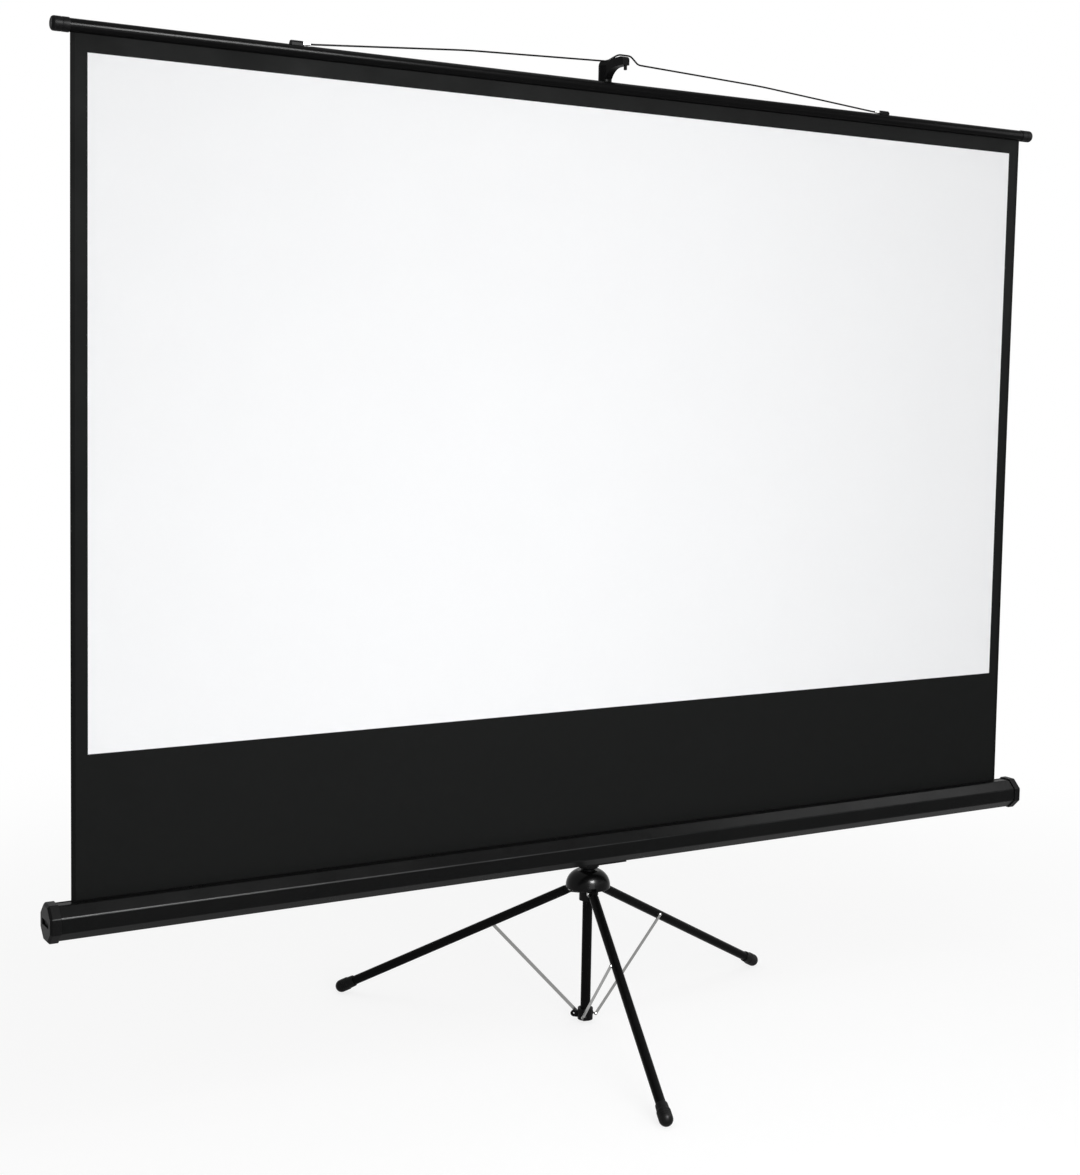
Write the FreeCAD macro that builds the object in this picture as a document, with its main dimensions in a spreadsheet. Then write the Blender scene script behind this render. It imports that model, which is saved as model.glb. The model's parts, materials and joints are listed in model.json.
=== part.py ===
"""Portable tripod projection screen.

Frame: origin on the floor at the middle of the plan box, +X along the case to the viewer's right,
+Y away from the viewers, +Z up. All lengths are millimetres and all angles are degrees.
"""
import FreeCAD, Part
import Sketcher
import math
import os
import re

# Driving dimensions, grouped by the piece that they belong to
SIZES = {
    # fits shared by all pieces
    "run_fit": 0.08,
    "clear_gap": 0.3,
    "seat_fit": 0.05,
    "overrun": 5,
    "edge_slack": 0.001,
    # screen cloth
    "picture_width": 2214,
    "picture_height": 1245,
    "side_border": 31,
    "top_border": 32,
    "drop_height": 265.5,
    "cloth_thickness": 0.4,
    "face_thickness": 0.15,
    "screen_offset": 52,
    # case
    "case_height": 397,
    "case_flats": 65,
    "case_wall": 1.4,
    "case_overhang": 43,
    "slot_width": 6,
    "slot_setback": 7,
    "slot_lip": 5,
    "cap_flats": 70,
    "cap_length": 20,
    "cap_end_wall": 6,
    "cap_bevel": 4,
    "cap_boss_radius": 10,
    "cap_boss_length": 30,
    "cap_slot_half": 20,
    "cap_slot_height": 11,
    "cap_slot_depth": 4,
    # roller
    "roller_radius": 14,
    "roller_wall": 1.2,
    "roller_side_gap": 12,
    "roll_radius": 15.2,
    "plug_length": 22,
    "idle_pin_radius": 3,
    "spindle_radius": 4,
    "spindle_length": 330,
    "spring_radius": 9.5,
    "spring_wire": 2.4,
    "spring_length": 270,
    # batten
    "batten_radius": 12,
    "batten_wall": 1.5,
    "batten_overhang": 31,
    "batten_slot": 1.6,
    "batten_cap_radius": 13.25,
    "batten_cap_length": 32,
    "batten_cap_end": 3,
    "batten_cap_round": 5,
    "hem_rod_radius": 3,
    # bail and its clips
    "wire_radius": 1.75,
    "bail_reach": 714,
    "clip_length": 24,
    "clip_width": 14,
    "clip_rise": 15.6,
    "clip_cover": 4,
    "ferrule_radius": 3,
    "ferrule_length": 14,
    "hump_half": 15,
    "hump_flank": 23,
    "hump_drop": 16,
    "hump_bend": 22,
    "bail_bow": 6,
    "bail_bend": 140,
    "bail_sweep": 1500,
    # hook head
    "hook_rise": 63,
    "hook_seat": 20,
    "hook_reach": 27,
    "hook_width": 16,
    "hook_arm_depth": 18,
    "hook_nose_drop": 5.5,
    "hook_nose_round": 12,
    "hook_tab_drop": 10,
    "hook_tab_length": 5,
    "hook_tab_width": 5,
    "hook_throat": 34,
    "hook_throat_drop": 20,
    "hook_back_round": 10,
    "hook_post_radius": 14,
    "hook_post_drop": 72,
    "hook_socket_depth": 36,
    # mast tubes
    "column_radius": 12.7,
    "column_wall": 1.4,
    "column_top": 1141,
    "centre_radius": 10.8,
    "centre_wall": 1.4,
    "centre_top": 545,
    "extension_radius": 9,
    "extension_wall": 1.2,
    "extension_overlap": 170,
    "plug_flange": 5,
    "mast_bush_length": 46,
    # mast clamp
    "collar_radius": 18,
    "collar_skirt": 34,
    "collar_height": 40,
    "collar_bevel": 3,
    "collar_bore_gap": 0.35,
    "mast_boss_radius": 9,
    "mast_boss_reach": 30,
    "mast_stud_radius": 3,
    "mast_knob_radius": 17,
    # clamp knobs
    "knob_thickness": 13,
    "knob_neck_radius": 8,
    "knob_neck_length": 5,
    "knob_scallop_radius": 7,
    "knob_bevel": 2,
    "stud_in_knob": 11,
    # case carrier
    "sleeve_radius": 23,
    "sleeve_height": 76,
    "sleeve_lift": 3,
    "sleeve_bevel": 3,
    "pivot_boss_radius": 19,
    "bracket_width": 100,
    "bracket_thickness": 2,
    "washer_radius": 17,
    "washer_thickness": 0.8,
    "pivot_stud_radius": 7,
    "pivot_stud_length": 9,
    "rivet_spread": 36,
    "rivet_rise": 7,
    "bracket_rivet_radius": 2.4,
    "bracket_rivet_head": 4.5,
    "bracket_rivet_height": 1.8,
    "case_boss_radius": 11,
    "case_boss_reach": 30,
    "case_stud_radius": 4,
    "case_stud_drop": 18,
    "case_knob_radius": 20,
    # hub
    "hub_radius": 48,
    "case_over_hub": 63,
    "hub_skirt": 4,
    "hub_rim_round": 2,
    "hub_height": 38,
    "hub_top_radius": 24.5,
    "hub_bore": 15.8,
    "socket_above": 2,
    "hub_collar": 18.6,
    "hub_collar_drop": 28,
    "hub_fillet": 9,
    "lug_radius": 7.5,
    "lug_thickness": 4.2,
    "leg_slot_inner": 27,
    "leg_slot_rise": 12.5,
    # legs
    "tripod_turn": -16.65,
    "foot_reach": 567,
    "pivot_radius": 38,
    "pivot_drop": 5,
    "leg_radius": 10,
    "leg_wall": 1.2,
    "leg_start": 14,
    "tongue_thickness": 10,
    "tongue_radius": 9,
    "tongue_plug": 36,
    "leg_pin_radius": 3,
    "leg_pin_head": 4.6,
    "leg_pin_head_height": 2.5,
    "boot_radius": 14,
    "boot_top_radius": 12.4,
    "boot_length": 34,
    "boot_floor": 3,
    "boot_flat": 0.6,
    # braces and spider
    "brace_share": 0.35,
    "strip_half_width": 3.7,
    "strip_thickness": 2,
    "brace_pin_radius": 2,
    "brace_head_radius": 3.6,
    "brace_head_height": 1.8,
    "spider_reach": 21,
    "spider_pivot_height": 14,
    "spider_foot": 5,
    "spider_floor": 3,
    "spider_radius": 16.5,
    "spider_height": 24,
    "spider_ear": 7,
    "spider_ear_thickness": 4.8,
}

# Values worked out from the driving dimensions
FORMULAS = {
    "cloth_half": "picture_width / 2 + side_border",
    "case_half_length": "cloth_half + case_overhang",
    "case_flat": "case_flats / 2",
    "case_side": "case_flat * tan(22.5)",
    "inner_flat": "case_flat - case_wall",
    "inner_side": "inner_flat * tan(22.5)",
    "cap_flat": "cap_flats / 2",
    "cap_side": "cap_flat * tan(22.5)",
    "cap_bore_flat": "case_flat + seat_fit",
    "cap_bore_side": "cap_bore_flat * tan(22.5)",
    "slot_foot": "case_height + case_flat",
    "picture_foot": "slot_foot + drop_height",
    "picture_top": "picture_foot + picture_height",
    "batten_height": "picture_top + top_border + batten_radius",
    "batten_half": "cloth_half + batten_overhang",
    "column_y": "foot_reach * (max(cos(turn_a); cos(turn_b); cos(turn_c))"
                " + min(cos(turn_a); cos(turn_b); cos(turn_c))) / 2",
    "turn_a": "tripod_turn",
    "turn_b": "tripod_turn + 120",
    "turn_c": "tripod_turn + 240",
    "screen_y": "column_y - screen_offset",
    "case_y": "screen_y - slot_setback",
    "roller_y": "screen_y - cloth_thickness / 2 - clear_gap - roll_radius",
    "roller_half": "case_half_length - cap_boss_length - roller_side_gap + cap_end_wall",
    "clip_height": "batten_height + clip_rise",
    "hook_top": "batten_height + hook_rise",
    "bail_up": "hook_rise - clip_rise + wire_radius + clear_gap",
    "bail_height": "sqrt(hook_seat ^ 2 + bail_up ^ 2)",
    "bail_lean": "atan2(hook_seat; bail_up)",
    "hook_tip": "screen_offset + hook_reach",
    "extension_foot": "column_top - extension_overlap",
    "extension_top": "hook_top - hook_post_drop + hook_socket_depth",
    "collar_bore": "extension_radius + collar_bore_gap",
    "hub_top": "case_height - case_over_hub",
    "hub_rim": "hub_top - hub_height",
    "pivot_height": "hub_rim - pivot_drop",
    "hub_inset": "hub_radius - hub_top_radius",
    "hub_rise": "hub_height - hub_skirt",
    "leg_pin_grip": "tongue_thickness / 2 + clear_gap + lug_thickness",
    "column_bore": "column_radius + run_fit",
    "column_foot": "hub_rim + clear_gap",
    "sleeve_foot": "hub_top + socket_above + sleeve_lift",
    "bracket_back": "slot_setback + screen_offset - case_flat - bracket_thickness",
    "boss_face": "bracket_back - washer_thickness",
    "foot_centre": "boot_radius - boot_flat",
    "leg_angle": "atan2(foot_reach - pivot_radius; pivot_height - foot_centre)",
    "leg_length": "sqrt((foot_reach - pivot_radius) ^ 2 + (pivot_height - foot_centre) ^ 2)",
    "leg_bore": "leg_radius - leg_wall",
    "tube_foot": "leg_length - boot_floor",
    "brace_on_leg": "leg_length * brace_share",
    "brace_out": "pivot_radius + brace_on_leg * sin(leg_angle) - spider_reach",
    "brace_up": "pivot_height - brace_on_leg * cos(leg_angle) - spider_pivot_height",
    "brace_length": "sqrt(brace_out ^ 2 + brace_up ^ 2)",
    "brace_angle": "atan2(brace_up; brace_out)",
    "strip_offset": "leg_radius + clear_gap + strip_thickness / 2",
    "ear_face": "strip_offset - strip_thickness / 2 - clear_gap",
}

LEGS = {"front": "turn_a", "right": "turn_b", "left": "turn_c"}
SIDES = {"left": -1, "right": 1}
SCALLOPS = 6
NAME = re.compile(r"[a-z]+(?:_[a-z]+)*")

doc = FreeCAD.newDocument("ProjectionScreen")
sheet = doc.addObject("Spreadsheet::Sheet", "Sizes")
for row, (alias, size) in enumerate(SIZES.items(), 1):
    sheet.set(f"A{row}", alias)
    sheet.set(f"B{row}", str(size))
    sheet.setAlias(f"B{row}", alias)
doc.recompute()
nodes = []


# Expressions and places

def bind(text):
    """Write out a formula of named sizes as an expression on the sheet."""
    def swap(found):
        word = found.group(0)
        if word in SIZES:
            return "Sizes." + word
        if word in FORMULAS:
            return "(" + bind(FORMULAS[word]) + ")"
        return word
    return NAME.sub(swap, text)


def num(text):
    """The value of a formula of named sizes."""
    found = sheet.evalExpression(bind(text))
    return float(getattr(found, "Value", found))


def vector(x, y, z):
    return FreeCAD.Vector(num(x), num(y), num(z))


def turned(axis, angle):
    return FreeCAD.Rotation(FreeCAD.Vector(*axis), angle)


def place(item, x, y, z, rotation=None):
    """Put a sub-part at a bound place, with a fixed turn."""
    item.Placement = FreeCAD.Placement(vector(x, y, z), rotation or FreeCAD.Rotation())
    for axis, text in zip("xyz", (x, y, z)):
        item.setExpression("Placement.Base." + axis, bind(text))


def node(item, label):
    """Name a finished sub-part and list it for writing."""
    item.Label = label
    nodes.append(item)
    return item


def new_body(label, x="0", y="column_y", z="0", rotation=None):
    body = doc.addObject("PartDesign::Body", label)
    place(body, x, y, z, rotation)
    return node(body, label)


# Sketches

def sketch(body, plane, lift="0"):
    """A sketch on one of the body's own planes, lifted along that plane's normal."""
    support = [item for item in body.Origin.OriginFeatures if item.Role == plane]
    drawing = body.newObject("Sketcher::SketchObject", body.Name + "_sketch")
    drawing.AttachmentSupport = [(support[0], "")]
    drawing.MapMode = "FlatFace"
    drawing.setExpression("AttachmentOffset.Base.z", bind(lift))
    return drawing


def bound(drawing, constraint, text):
    """Add a constraint whose value is a formula of named sizes."""
    index = drawing.addConstraint(constraint)
    drawing.setExpression(f"Constraints[{index}]", bind(text))


def pin(drawing, geometry, point, x, y):
    """Fix one point of a sketch by its two distances from the sketch's origin."""
    bound(drawing, Sketcher.Constraint("DistanceX", -1, 1, geometry, point, num(x)), x)
    bound(drawing, Sketcher.Constraint("DistanceY", -1, 1, geometry, point, num(y)), y)


def circle(drawing, x, y, radius):
    shape = Part.Circle(vector(x, y, "0"), FreeCAD.Vector(0, 0, 1), num(radius))
    geometry = drawing.addGeometry(shape)
    pin(drawing, geometry, 3, x, y)
    bound(drawing, Sketcher.Constraint("Radius", geometry, num(radius)), radius)


def short_arc(start, end, radius, side):
    """The shorter arc between two points; side 1 turns left on the way, side -1 turns right."""
    chord = end - start
    middle = (start + end) * 0.5
    normal = FreeCAD.Vector(-chord.y, chord.x, 0).normalize() * side
    centre = middle + normal * math.sqrt(max(radius ** 2 - (chord.Length / 2) ** 2, 0))
    ends = (start, end) if side > 0 else (end, start)
    angles = [math.atan2(point.y - centre.y, point.x - centre.x) for point in ends]
    return Part.ArcOfCircle(Part.Circle(centre, FreeCAD.Vector(0, 0, 1), radius), *angles)


def outline(drawing, points):
    """A closed outline of lines; a point with a radius and a side starts an arc."""
    ends = []
    for index, point in enumerate(points):
        after = points[(index + 1) % len(points)]
        start = vector(point[0], point[1], "0")
        end = vector(after[0], after[1], "0")
        if len(point) == 2:
            geometry = drawing.addGeometry(Part.LineSegment(start, end))
            ends.append((geometry, 1, 2))
        else:
            radius, side = point[2:]
            geometry = drawing.addGeometry(short_arc(start, end, num(radius), side))
            ends.append((geometry, 1, 2) if side > 0 else (geometry, 2, 1))
    for index, (geometry, _, last) in enumerate(ends):
        following, start, _ = ends[(index + 1) % len(ends)]
        drawing.addConstraint(Sketcher.Constraint("Coincident", geometry, last, following, start))
    for (geometry, first, _), point in zip(ends, points):
        pin(drawing, geometry, first, point[0], point[1])
        if len(point) > 2:
            bound(drawing, Sketcher.Constraint("Radius", geometry, num(point[2])), point[2])


def rectangle(drawing, left, low, right, high):
    outline(drawing, [(left, low), (right, low), (right, high), (left, high)])


def octagon(drawing, flat, side):
    """An upright octagon from half its width over the flats and half its side."""
    outline(drawing, [(side, f"-{flat}"), (flat, f"-{side}"), (flat, side), (side, flat),
                      (f"-{side}", flat), (f"-{flat}", side), (f"-{flat}", f"-{side}"),
                      (f"-{side}", f"-{flat}")])


# Features

def pad(drawing, length, both=False, back=False):
    body = drawing.getParentGeoFeatureGroup()
    feature = body.newObject("PartDesign::Pad", body.Name + "_pad")
    feature.Profile = drawing
    feature.setExpression("Length", bind(length))
    feature.SideType = "Symmetric" if both else "One side"
    feature.Reversed = back
    return feature


def pocket(drawing, length=None, both=False, back=False):
    """Cut a sketch into its body, through all of it if no length is given."""
    body = drawing.getParentGeoFeatureGroup()
    feature = body.newObject("PartDesign::Pocket", body.Name + "_pocket")
    feature.Profile = drawing
    feature.SideType = "Symmetric" if both else "One side"
    feature.Reversed = back
    if length is None:
        feature.Type = "ThroughAll"
    else:
        feature.setExpression("Length", bind(length))
    return feature


def revolve(drawing, axis="V_Axis"):
    body = drawing.getParentGeoFeatureGroup()
    feature = body.newObject("PartDesign::Revolution", body.Name + "_turned")
    feature.Profile = drawing
    feature.ReferenceAxis = (drawing, [axis])
    feature.Angle = 360
    return feature


def around(features, drawing, count, axis="V_Axis"):
    """Repeat features evenly round an axis of a sketch."""
    body = drawing.getParentGeoFeatureGroup()
    pattern = body.newObject("PartDesign::PolarPattern", body.Name + "_pattern")
    pattern.Originals = features
    pattern.Axis = (drawing, [axis])
    pattern.Angle = 360
    pattern.Occurrences = count
    body.Tip = pattern
    return pattern


def dress(kind, feature, size, test):
    """Bevel or round the edges of a feature that pass a test."""
    doc.recompute()
    body = feature.getParentGeoFeatureGroup()
    names = [f"Edge{index}" for index, edge in enumerate(feature.Shape.Edges, 1) if test(edge)]
    dressed = body.newObject("PartDesign::" + kind, body.Name + "_" + kind.lower())
    dressed.Base = (feature, names)
    dressed.setExpression("Size" if kind == "Chamfer" else "Radius", bind(size))
    return dressed


def ring(body, plane, outer, inner, low, length, both=False):
    """A tube along the normal of one of the body's planes."""
    drawing = sketch(body, plane, low)
    circle(drawing, "0", "0", outer)
    circle(drawing, "0", "0", inner)
    return pad(drawing, length, both)


def rod(body, plane, radius, low, length, both=False):
    """A round bar along the normal of one of the body's planes."""
    drawing = sketch(body, plane, low)
    circle(drawing, "0", "0", radius)
    return pad(drawing, length, both)


def group(label, members):
    """One node of several like pieces."""
    for member in members:
        nodes.remove(member)
    compound = doc.addObject("Part::Compound", label)
    compound.Links = members
    return node(compound, label)


def rivet(label, radius, grip, head, head_height, heads, x, y, z, rotation):
    """A rivet along its own Z axis: grip from 0 down, one head above it and a second below."""
    body = new_body(label, x, y, z, rotation)
    low = f"-({grip})"
    points = [("0", low), (radius, low)]
    if heads == 2:
        foot = f"-({grip}) - {head_height}"
        points = [("0", foot), (head, foot), (head, low), (radius, low)]
    points += [(radius, "0"), (head, "0"), (f"{radius}", head_height), ("0", head_height)]
    drawing = sketch(body, "XZ_Plane")
    outline(drawing, points)
    revolve(drawing)
    return body


# Tripod hub

def leg_turn(name):
    """The turn that takes local +X to a leg's outward direction."""
    return turned((0, 0, 1), num(LEGS[name]) - 90)


def leg_place(name, out, across, up):
    """Bound place of a point given along, across and above a leg's direction from the mast axis."""
    angle = LEGS[name]
    return (f"({out}) * sin({angle}) + ({across}) * cos({angle})",
            f"column_y - ({out}) * cos({angle}) + ({across}) * sin({angle})", up)


def make_hub():
    dome = new_body("hub_dome", rotation=leg_turn("front"))
    drawing = sketch(dome, "XZ_Plane")
    outline(drawing, [
        ("hub_bore", "hub_rim - hub_collar_drop"), ("hub_collar", "hub_rim - hub_collar_drop"),
        ("hub_collar", "hub_rim - hub_fillet", "hub_fillet", -1), ("hub_collar + hub_fillet", "hub_rim"),
        ("hub_radius - hub_rim_round", "hub_rim", "hub_rim_round", 1),
        ("hub_radius", "hub_rim + hub_rim_round"),
        ("hub_radius", "hub_rim + hub_skirt", "(hub_inset ^ 2 + hub_rise ^ 2) / (2 * hub_inset)", 1),
        ("hub_top_radius", "hub_top"), ("hub_bore", "hub_top")])
    revolve(drawing)
    lug = sketch(dome, "XZ_Plane")
    root, embed = "(hub_bore + hub_collar) / 2", "hub_rim + hub_skirt"
    outline(lug, [
        (root, "pivot_height - lug_radius"), ("pivot_radius", "pivot_height - lug_radius", "lug_radius", 1),
        ("pivot_radius + lug_radius", "pivot_height"), ("pivot_radius + lug_radius", embed), (root, embed)])
    lugs = pad(lug, "2 * leg_pin_grip", both=True)
    slot = sketch(dome, "XZ_Plane")
    rectangle(slot, "leg_slot_inner", "pivot_height - lug_radius - overrun", "hub_radius + overrun",
              "pivot_height + leg_slot_rise")
    slots = pocket(slot, "tongue_thickness + 2 * clear_gap", both=True)
    hole = sketch(dome, "XZ_Plane")
    circle(hole, "pivot_radius", "pivot_height", "leg_pin_radius + seat_fit")
    holes = pocket(hole, both=True)
    around([lugs, slots, holes], slot, len(LEGS))

    socket = new_body("hub_socket")
    ring(socket, "XY_Plane", "hub_bore", "column_bore", "hub_rim", "hub_height + socket_above")
    bush = new_body("hub_bush")
    ring(bush, "XY_Plane", "hub_bore", "centre_radius + run_fit", "hub_rim - hub_collar_drop",
         "hub_collar_drop")
    pins = []
    for name in LEGS:
        spot = leg_place(name, "pivot_radius", "leg_pin_grip", "pivot_height")
        lay = leg_turn(name).multiply(turned((1, 0, 0), -90))
        pins.append(rivet("leg_pin_" + name, "leg_pin_radius", "2 * leg_pin_grip", "leg_pin_head",
                          "leg_pin_head_height", 2, *spot, lay))
    group("leg_pivot_pins", pins)


# Legs

def make_leg(name):
    """One leg, built down its own -Z axis from its pivot, with +X on its upper side."""
    spot = leg_place(name, "pivot_radius", "0", "pivot_height")
    lay = leg_turn(name).multiply(turned((0, 1, 0), -num("leg_angle")))

    hinge = new_body("leg_hinge_" + name, *spot, lay)
    tongue = sketch(hinge, "XZ_Plane")
    rectangle(tongue, "-tongue_radius", "-leg_start", "tongue_radius", "0")
    pad(tongue, "tongue_thickness", both=True)
    eye = sketch(hinge, "XZ_Plane")
    circle(eye, "0", "0", "tongue_radius")
    pad(eye, "tongue_thickness", both=True)
    rod(hinge, "XY_Plane", "leg_bore - seat_fit", "-leg_start - tongue_plug", "tongue_plug")
    hole = sketch(hinge, "XZ_Plane")
    circle(hole, "0", "0", "leg_pin_radius + run_fit")
    pocket(hole, both=True)

    tube = new_body("leg_tube_" + name, *spot, lay)
    ring(tube, "XY_Plane", "leg_radius", "leg_bore", "-tube_foot", "tube_foot - leg_start")

    boot = new_body("foot_boot_" + name, *spot, lay)
    drawing = sketch(boot, "XZ_Plane")
    outline(drawing, [
        ("leg_radius + seat_fit", "-tube_foot"), ("0", "-tube_foot"),
        ("0", "-leg_length - boot_radius", "boot_radius", 1),
        ("boot_radius", "-leg_length"), ("boot_top_radius", "boot_length - leg_length"),
        ("leg_radius + seat_fit", "boot_length - leg_length")])
    revolve(drawing)
    sole = sketch(boot, "XZ_Plane")
    reach = "2 * boot_radius"
    floor = "-(pivot_height + ({}) * sin(leg_angle)) / cos(leg_angle)"
    deep = "-leg_length - 4 * boot_radius"
    outline(sole, [(f"-{reach}", deep), (reach, deep), (reach, floor.format(reach)),
                   (f"-{reach}", floor.format(f"-{reach}"))])
    pocket(sole, both=True)


def make_brace(name):
    """One flat brace, built along its own +X axis from its spider pivot."""
    spot = leg_place(name, "spider_reach", "-strip_offset", "spider_pivot_height")
    lay = leg_turn(name).multiply(turned((0, 1, 0), -num("brace_angle")))
    strip = new_body("brace_strip_" + name, *spot, lay)
    bar = sketch(strip, "XZ_Plane")
    rectangle(bar, "0", "-strip_half_width", "brace_length", "strip_half_width")
    pad(bar, "strip_thickness", both=True)
    for end in ("0", "brace_length"):
        eye = sketch(strip, "XZ_Plane")
        circle(eye, end, "0", "strip_half_width")
        pad(eye, "strip_thickness", both=True)
    for end in ("0", "brace_length"):
        hole = sketch(strip, "XZ_Plane")
        circle(hole, end, "0", "brace_pin_radius + run_fit")
        pocket(hole, both=True)

    out = "spider_reach + brace_out"
    top = leg_place(name, out, "-strip_offset - strip_thickness / 2", "spider_pivot_height + brace_up")
    lay = leg_turn(name).multiply(turned((1, 0, 0), 90))
    rivet("brace_rivet_" + name, "brace_pin_radius + run_fit", "strip_thickness", "brace_head_radius",
          "brace_head_height", 1, *top, lay)


def make_spider():
    tube = new_body("centre_tube")
    ring(tube, "XY_Plane", "centre_radius", "centre_radius - centre_wall",
         "spider_foot + spider_floor", "centre_top - spider_foot - spider_floor")

    spider = new_body("spider", rotation=leg_turn("front"))
    rod(spider, "XY_Plane", "spider_radius", "spider_foot", "spider_height")
    ear = sketch(spider, "XZ_Plane", "ear_face - spider_ear_thickness")
    rectangle(ear, "centre_radius", "spider_pivot_height - spider_ear", "spider_reach",
              "spider_pivot_height + spider_ear")
    arm = pad(ear, "spider_ear_thickness")
    eye = sketch(spider, "XZ_Plane", "ear_face - spider_ear_thickness")
    circle(eye, "spider_reach", "spider_pivot_height", "spider_ear")
    tip = pad(eye, "spider_ear_thickness")
    hole = sketch(spider, "XZ_Plane", "ear_face - spider_ear_thickness")
    circle(hole, "spider_reach", "spider_pivot_height", "brace_pin_radius + seat_fit")
    bore = pocket(hole, "spider_ear_thickness", back=True)
    around([arm, tip, bore], ear, len(LEGS))
    socket = sketch(spider, "XY_Plane", "spider_foot + spider_floor")
    circle(socket, "0", "0", "centre_radius + seat_fit")
    spider.Tip = pocket(socket, back=True)

    grip = "spider_ear_thickness + strip_thickness + 2 * clear_gap"
    pins = []
    for name in LEGS:
        spot = leg_place(name, "spider_reach", "-strip_offset - strip_thickness / 2 - clear_gap",
                         "spider_pivot_height")
        lay = leg_turn(name).multiply(turned((1, 0, 0), 90))
        pins.append(rivet("spider_pin_" + name, "brace_pin_radius", grip, "brace_head_radius",
                          "brace_head_height", 1, *spot, lay))
    group("spider_rivets", pins)


# Mast

def make_knob(label, radius, boss_reach, stud_radius, stud_tip, z):
    """A scalloped clamp knob behind the mast, with its stud."""
    lay = turned((1, 0, 0), -90)
    face = f"column_y + {boss_reach} + clear_gap"
    knob = new_body(label + "_knob", "0", face, z, lay)
    rod(knob, "XY_Plane", "knob_neck_radius", "0", "knob_neck_length")
    disc = rod(knob, "XY_Plane", radius, "knob_neck_length", "knob_thickness")
    rim = 2 * num(radius) - num("edge_slack")
    dress("Chamfer", disc, "knob_bevel", lambda edge: edge.BoundBox.XLength > rim)
    dent = sketch(knob, "XY_Plane", "knob_neck_length")
    circle(dent, f"{radius} + knob_scallop_radius / 2", "0", "knob_scallop_radius")
    scallop = pocket(dent, "knob_thickness", back=True)
    around([scallop], dent, SCALLOPS, "N_Axis")
    hole = sketch(knob, "XY_Plane")
    circle(hole, "0", "0", f"{stud_radius} + seat_fit")
    knob.Tip = pocket(hole, "stud_in_knob", back=True)

    stud = new_body(label + "_stud", "0", f"column_y + {stud_tip} + clear_gap", z, lay)
    rod(stud, "XY_Plane", stud_radius, "0", f"{boss_reach} + stud_in_knob - ({stud_tip})")


def make_mast():
    column = new_body("column_tube")
    ring(column, "XY_Plane", "column_radius", "column_radius - column_wall", "column_foot",
         "column_top - column_foot")
    bush = new_body("mast_bush")
    ring(bush, "XY_Plane", "column_radius - column_wall - seat_fit", "extension_radius + run_fit",
         "column_top - mast_bush_length", "mast_bush_length")

    collar = new_body("mast_lock_collar")
    drawing = sketch(collar, "XZ_Plane")
    skirt = "column_radius + seat_fit"
    outline(drawing, [
        (skirt, "column_top - collar_skirt"), ("collar_radius", "column_top - collar_skirt"),
        ("collar_radius", "column_top + collar_height - collar_bevel"),
        ("collar_radius - collar_bevel", "column_top + collar_height"),
        ("collar_bore", "column_top + collar_height"), ("collar_bore", "column_top"),
        (skirt, "column_top")])
    revolve(drawing)
    boss = sketch(collar, "XZ_Plane", "-mast_boss_reach")
    circle(boss, "0", "column_top + collar_height / 2", "mast_boss_radius")
    pad(boss, "mast_boss_reach - collar_radius + collar_bevel")
    hole = sketch(collar, "XZ_Plane")
    circle(hole, "0", "column_top + collar_height / 2", "mast_stud_radius + run_fit")
    pocket(hole)
    make_knob("mast_lock", "mast_knob_radius", "mast_boss_reach", "mast_stud_radius", "extension_radius",
              "column_top + collar_height / 2")

    extension = new_body("extension_tube")
    ring(extension, "XY_Plane", "extension_radius", "extension_radius - extension_wall",
         "extension_foot", "extension_top - extension_foot")
    plug = new_body("extension_plug")
    rod(plug, "XY_Plane", "extension_radius", "extension_foot - plug_flange", "plug_flange")
    rod(plug, "XY_Plane", "extension_radius - extension_wall - seat_fit", "extension_foot", "2 * plug_flange")


def make_hook():
    """Cast head on the extension, with an arm that reaches out over the batten to carry the bail."""
    hook = new_body("hook_head", z="hook_top")
    rod(hook, "XY_Plane", "hook_post_radius", "-hook_post_drop", "hook_post_drop - hook_back_round")
    arm = sketch(hook, "YZ_Plane")
    root = "-hook_arm_depth - hook_throat_drop"
    sweep = "(hook_throat ^ 2 + hook_throat_drop ^ 2) / (2 * hook_throat_drop)"
    outline(arm, [
        ("hook_post_radius", root), ("hook_post_radius", "-hook_back_round", "hook_back_round", 1),
        ("hook_post_radius - hook_back_round", "0"),
        ("-screen_offset - hook_seat + wire_radius", "0", "hook_nose_round", 1),
        ("-hook_tip", "-hook_nose_drop"), ("-hook_tip", "-hook_arm_depth"),
        ("-hook_post_radius - hook_throat", "-hook_arm_depth", sweep, -1), ("-hook_post_radius", root)])
    pad(arm, "hook_width", both=True)
    tab = sketch(hook, "YZ_Plane")
    rectangle(tab, "-hook_tip", "-hook_arm_depth - hook_tab_drop", "hook_tab_length - hook_tip",
              "-hook_arm_depth / 2")
    pad(tab, "hook_tab_width", both=True)
    socket = sketch(hook, "XY_Plane", "-hook_post_drop")
    circle(socket, "0", "0", "extension_radius + seat_fit")
    pocket(socket, "hook_socket_depth", back=True)


# Batten and bail

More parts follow.
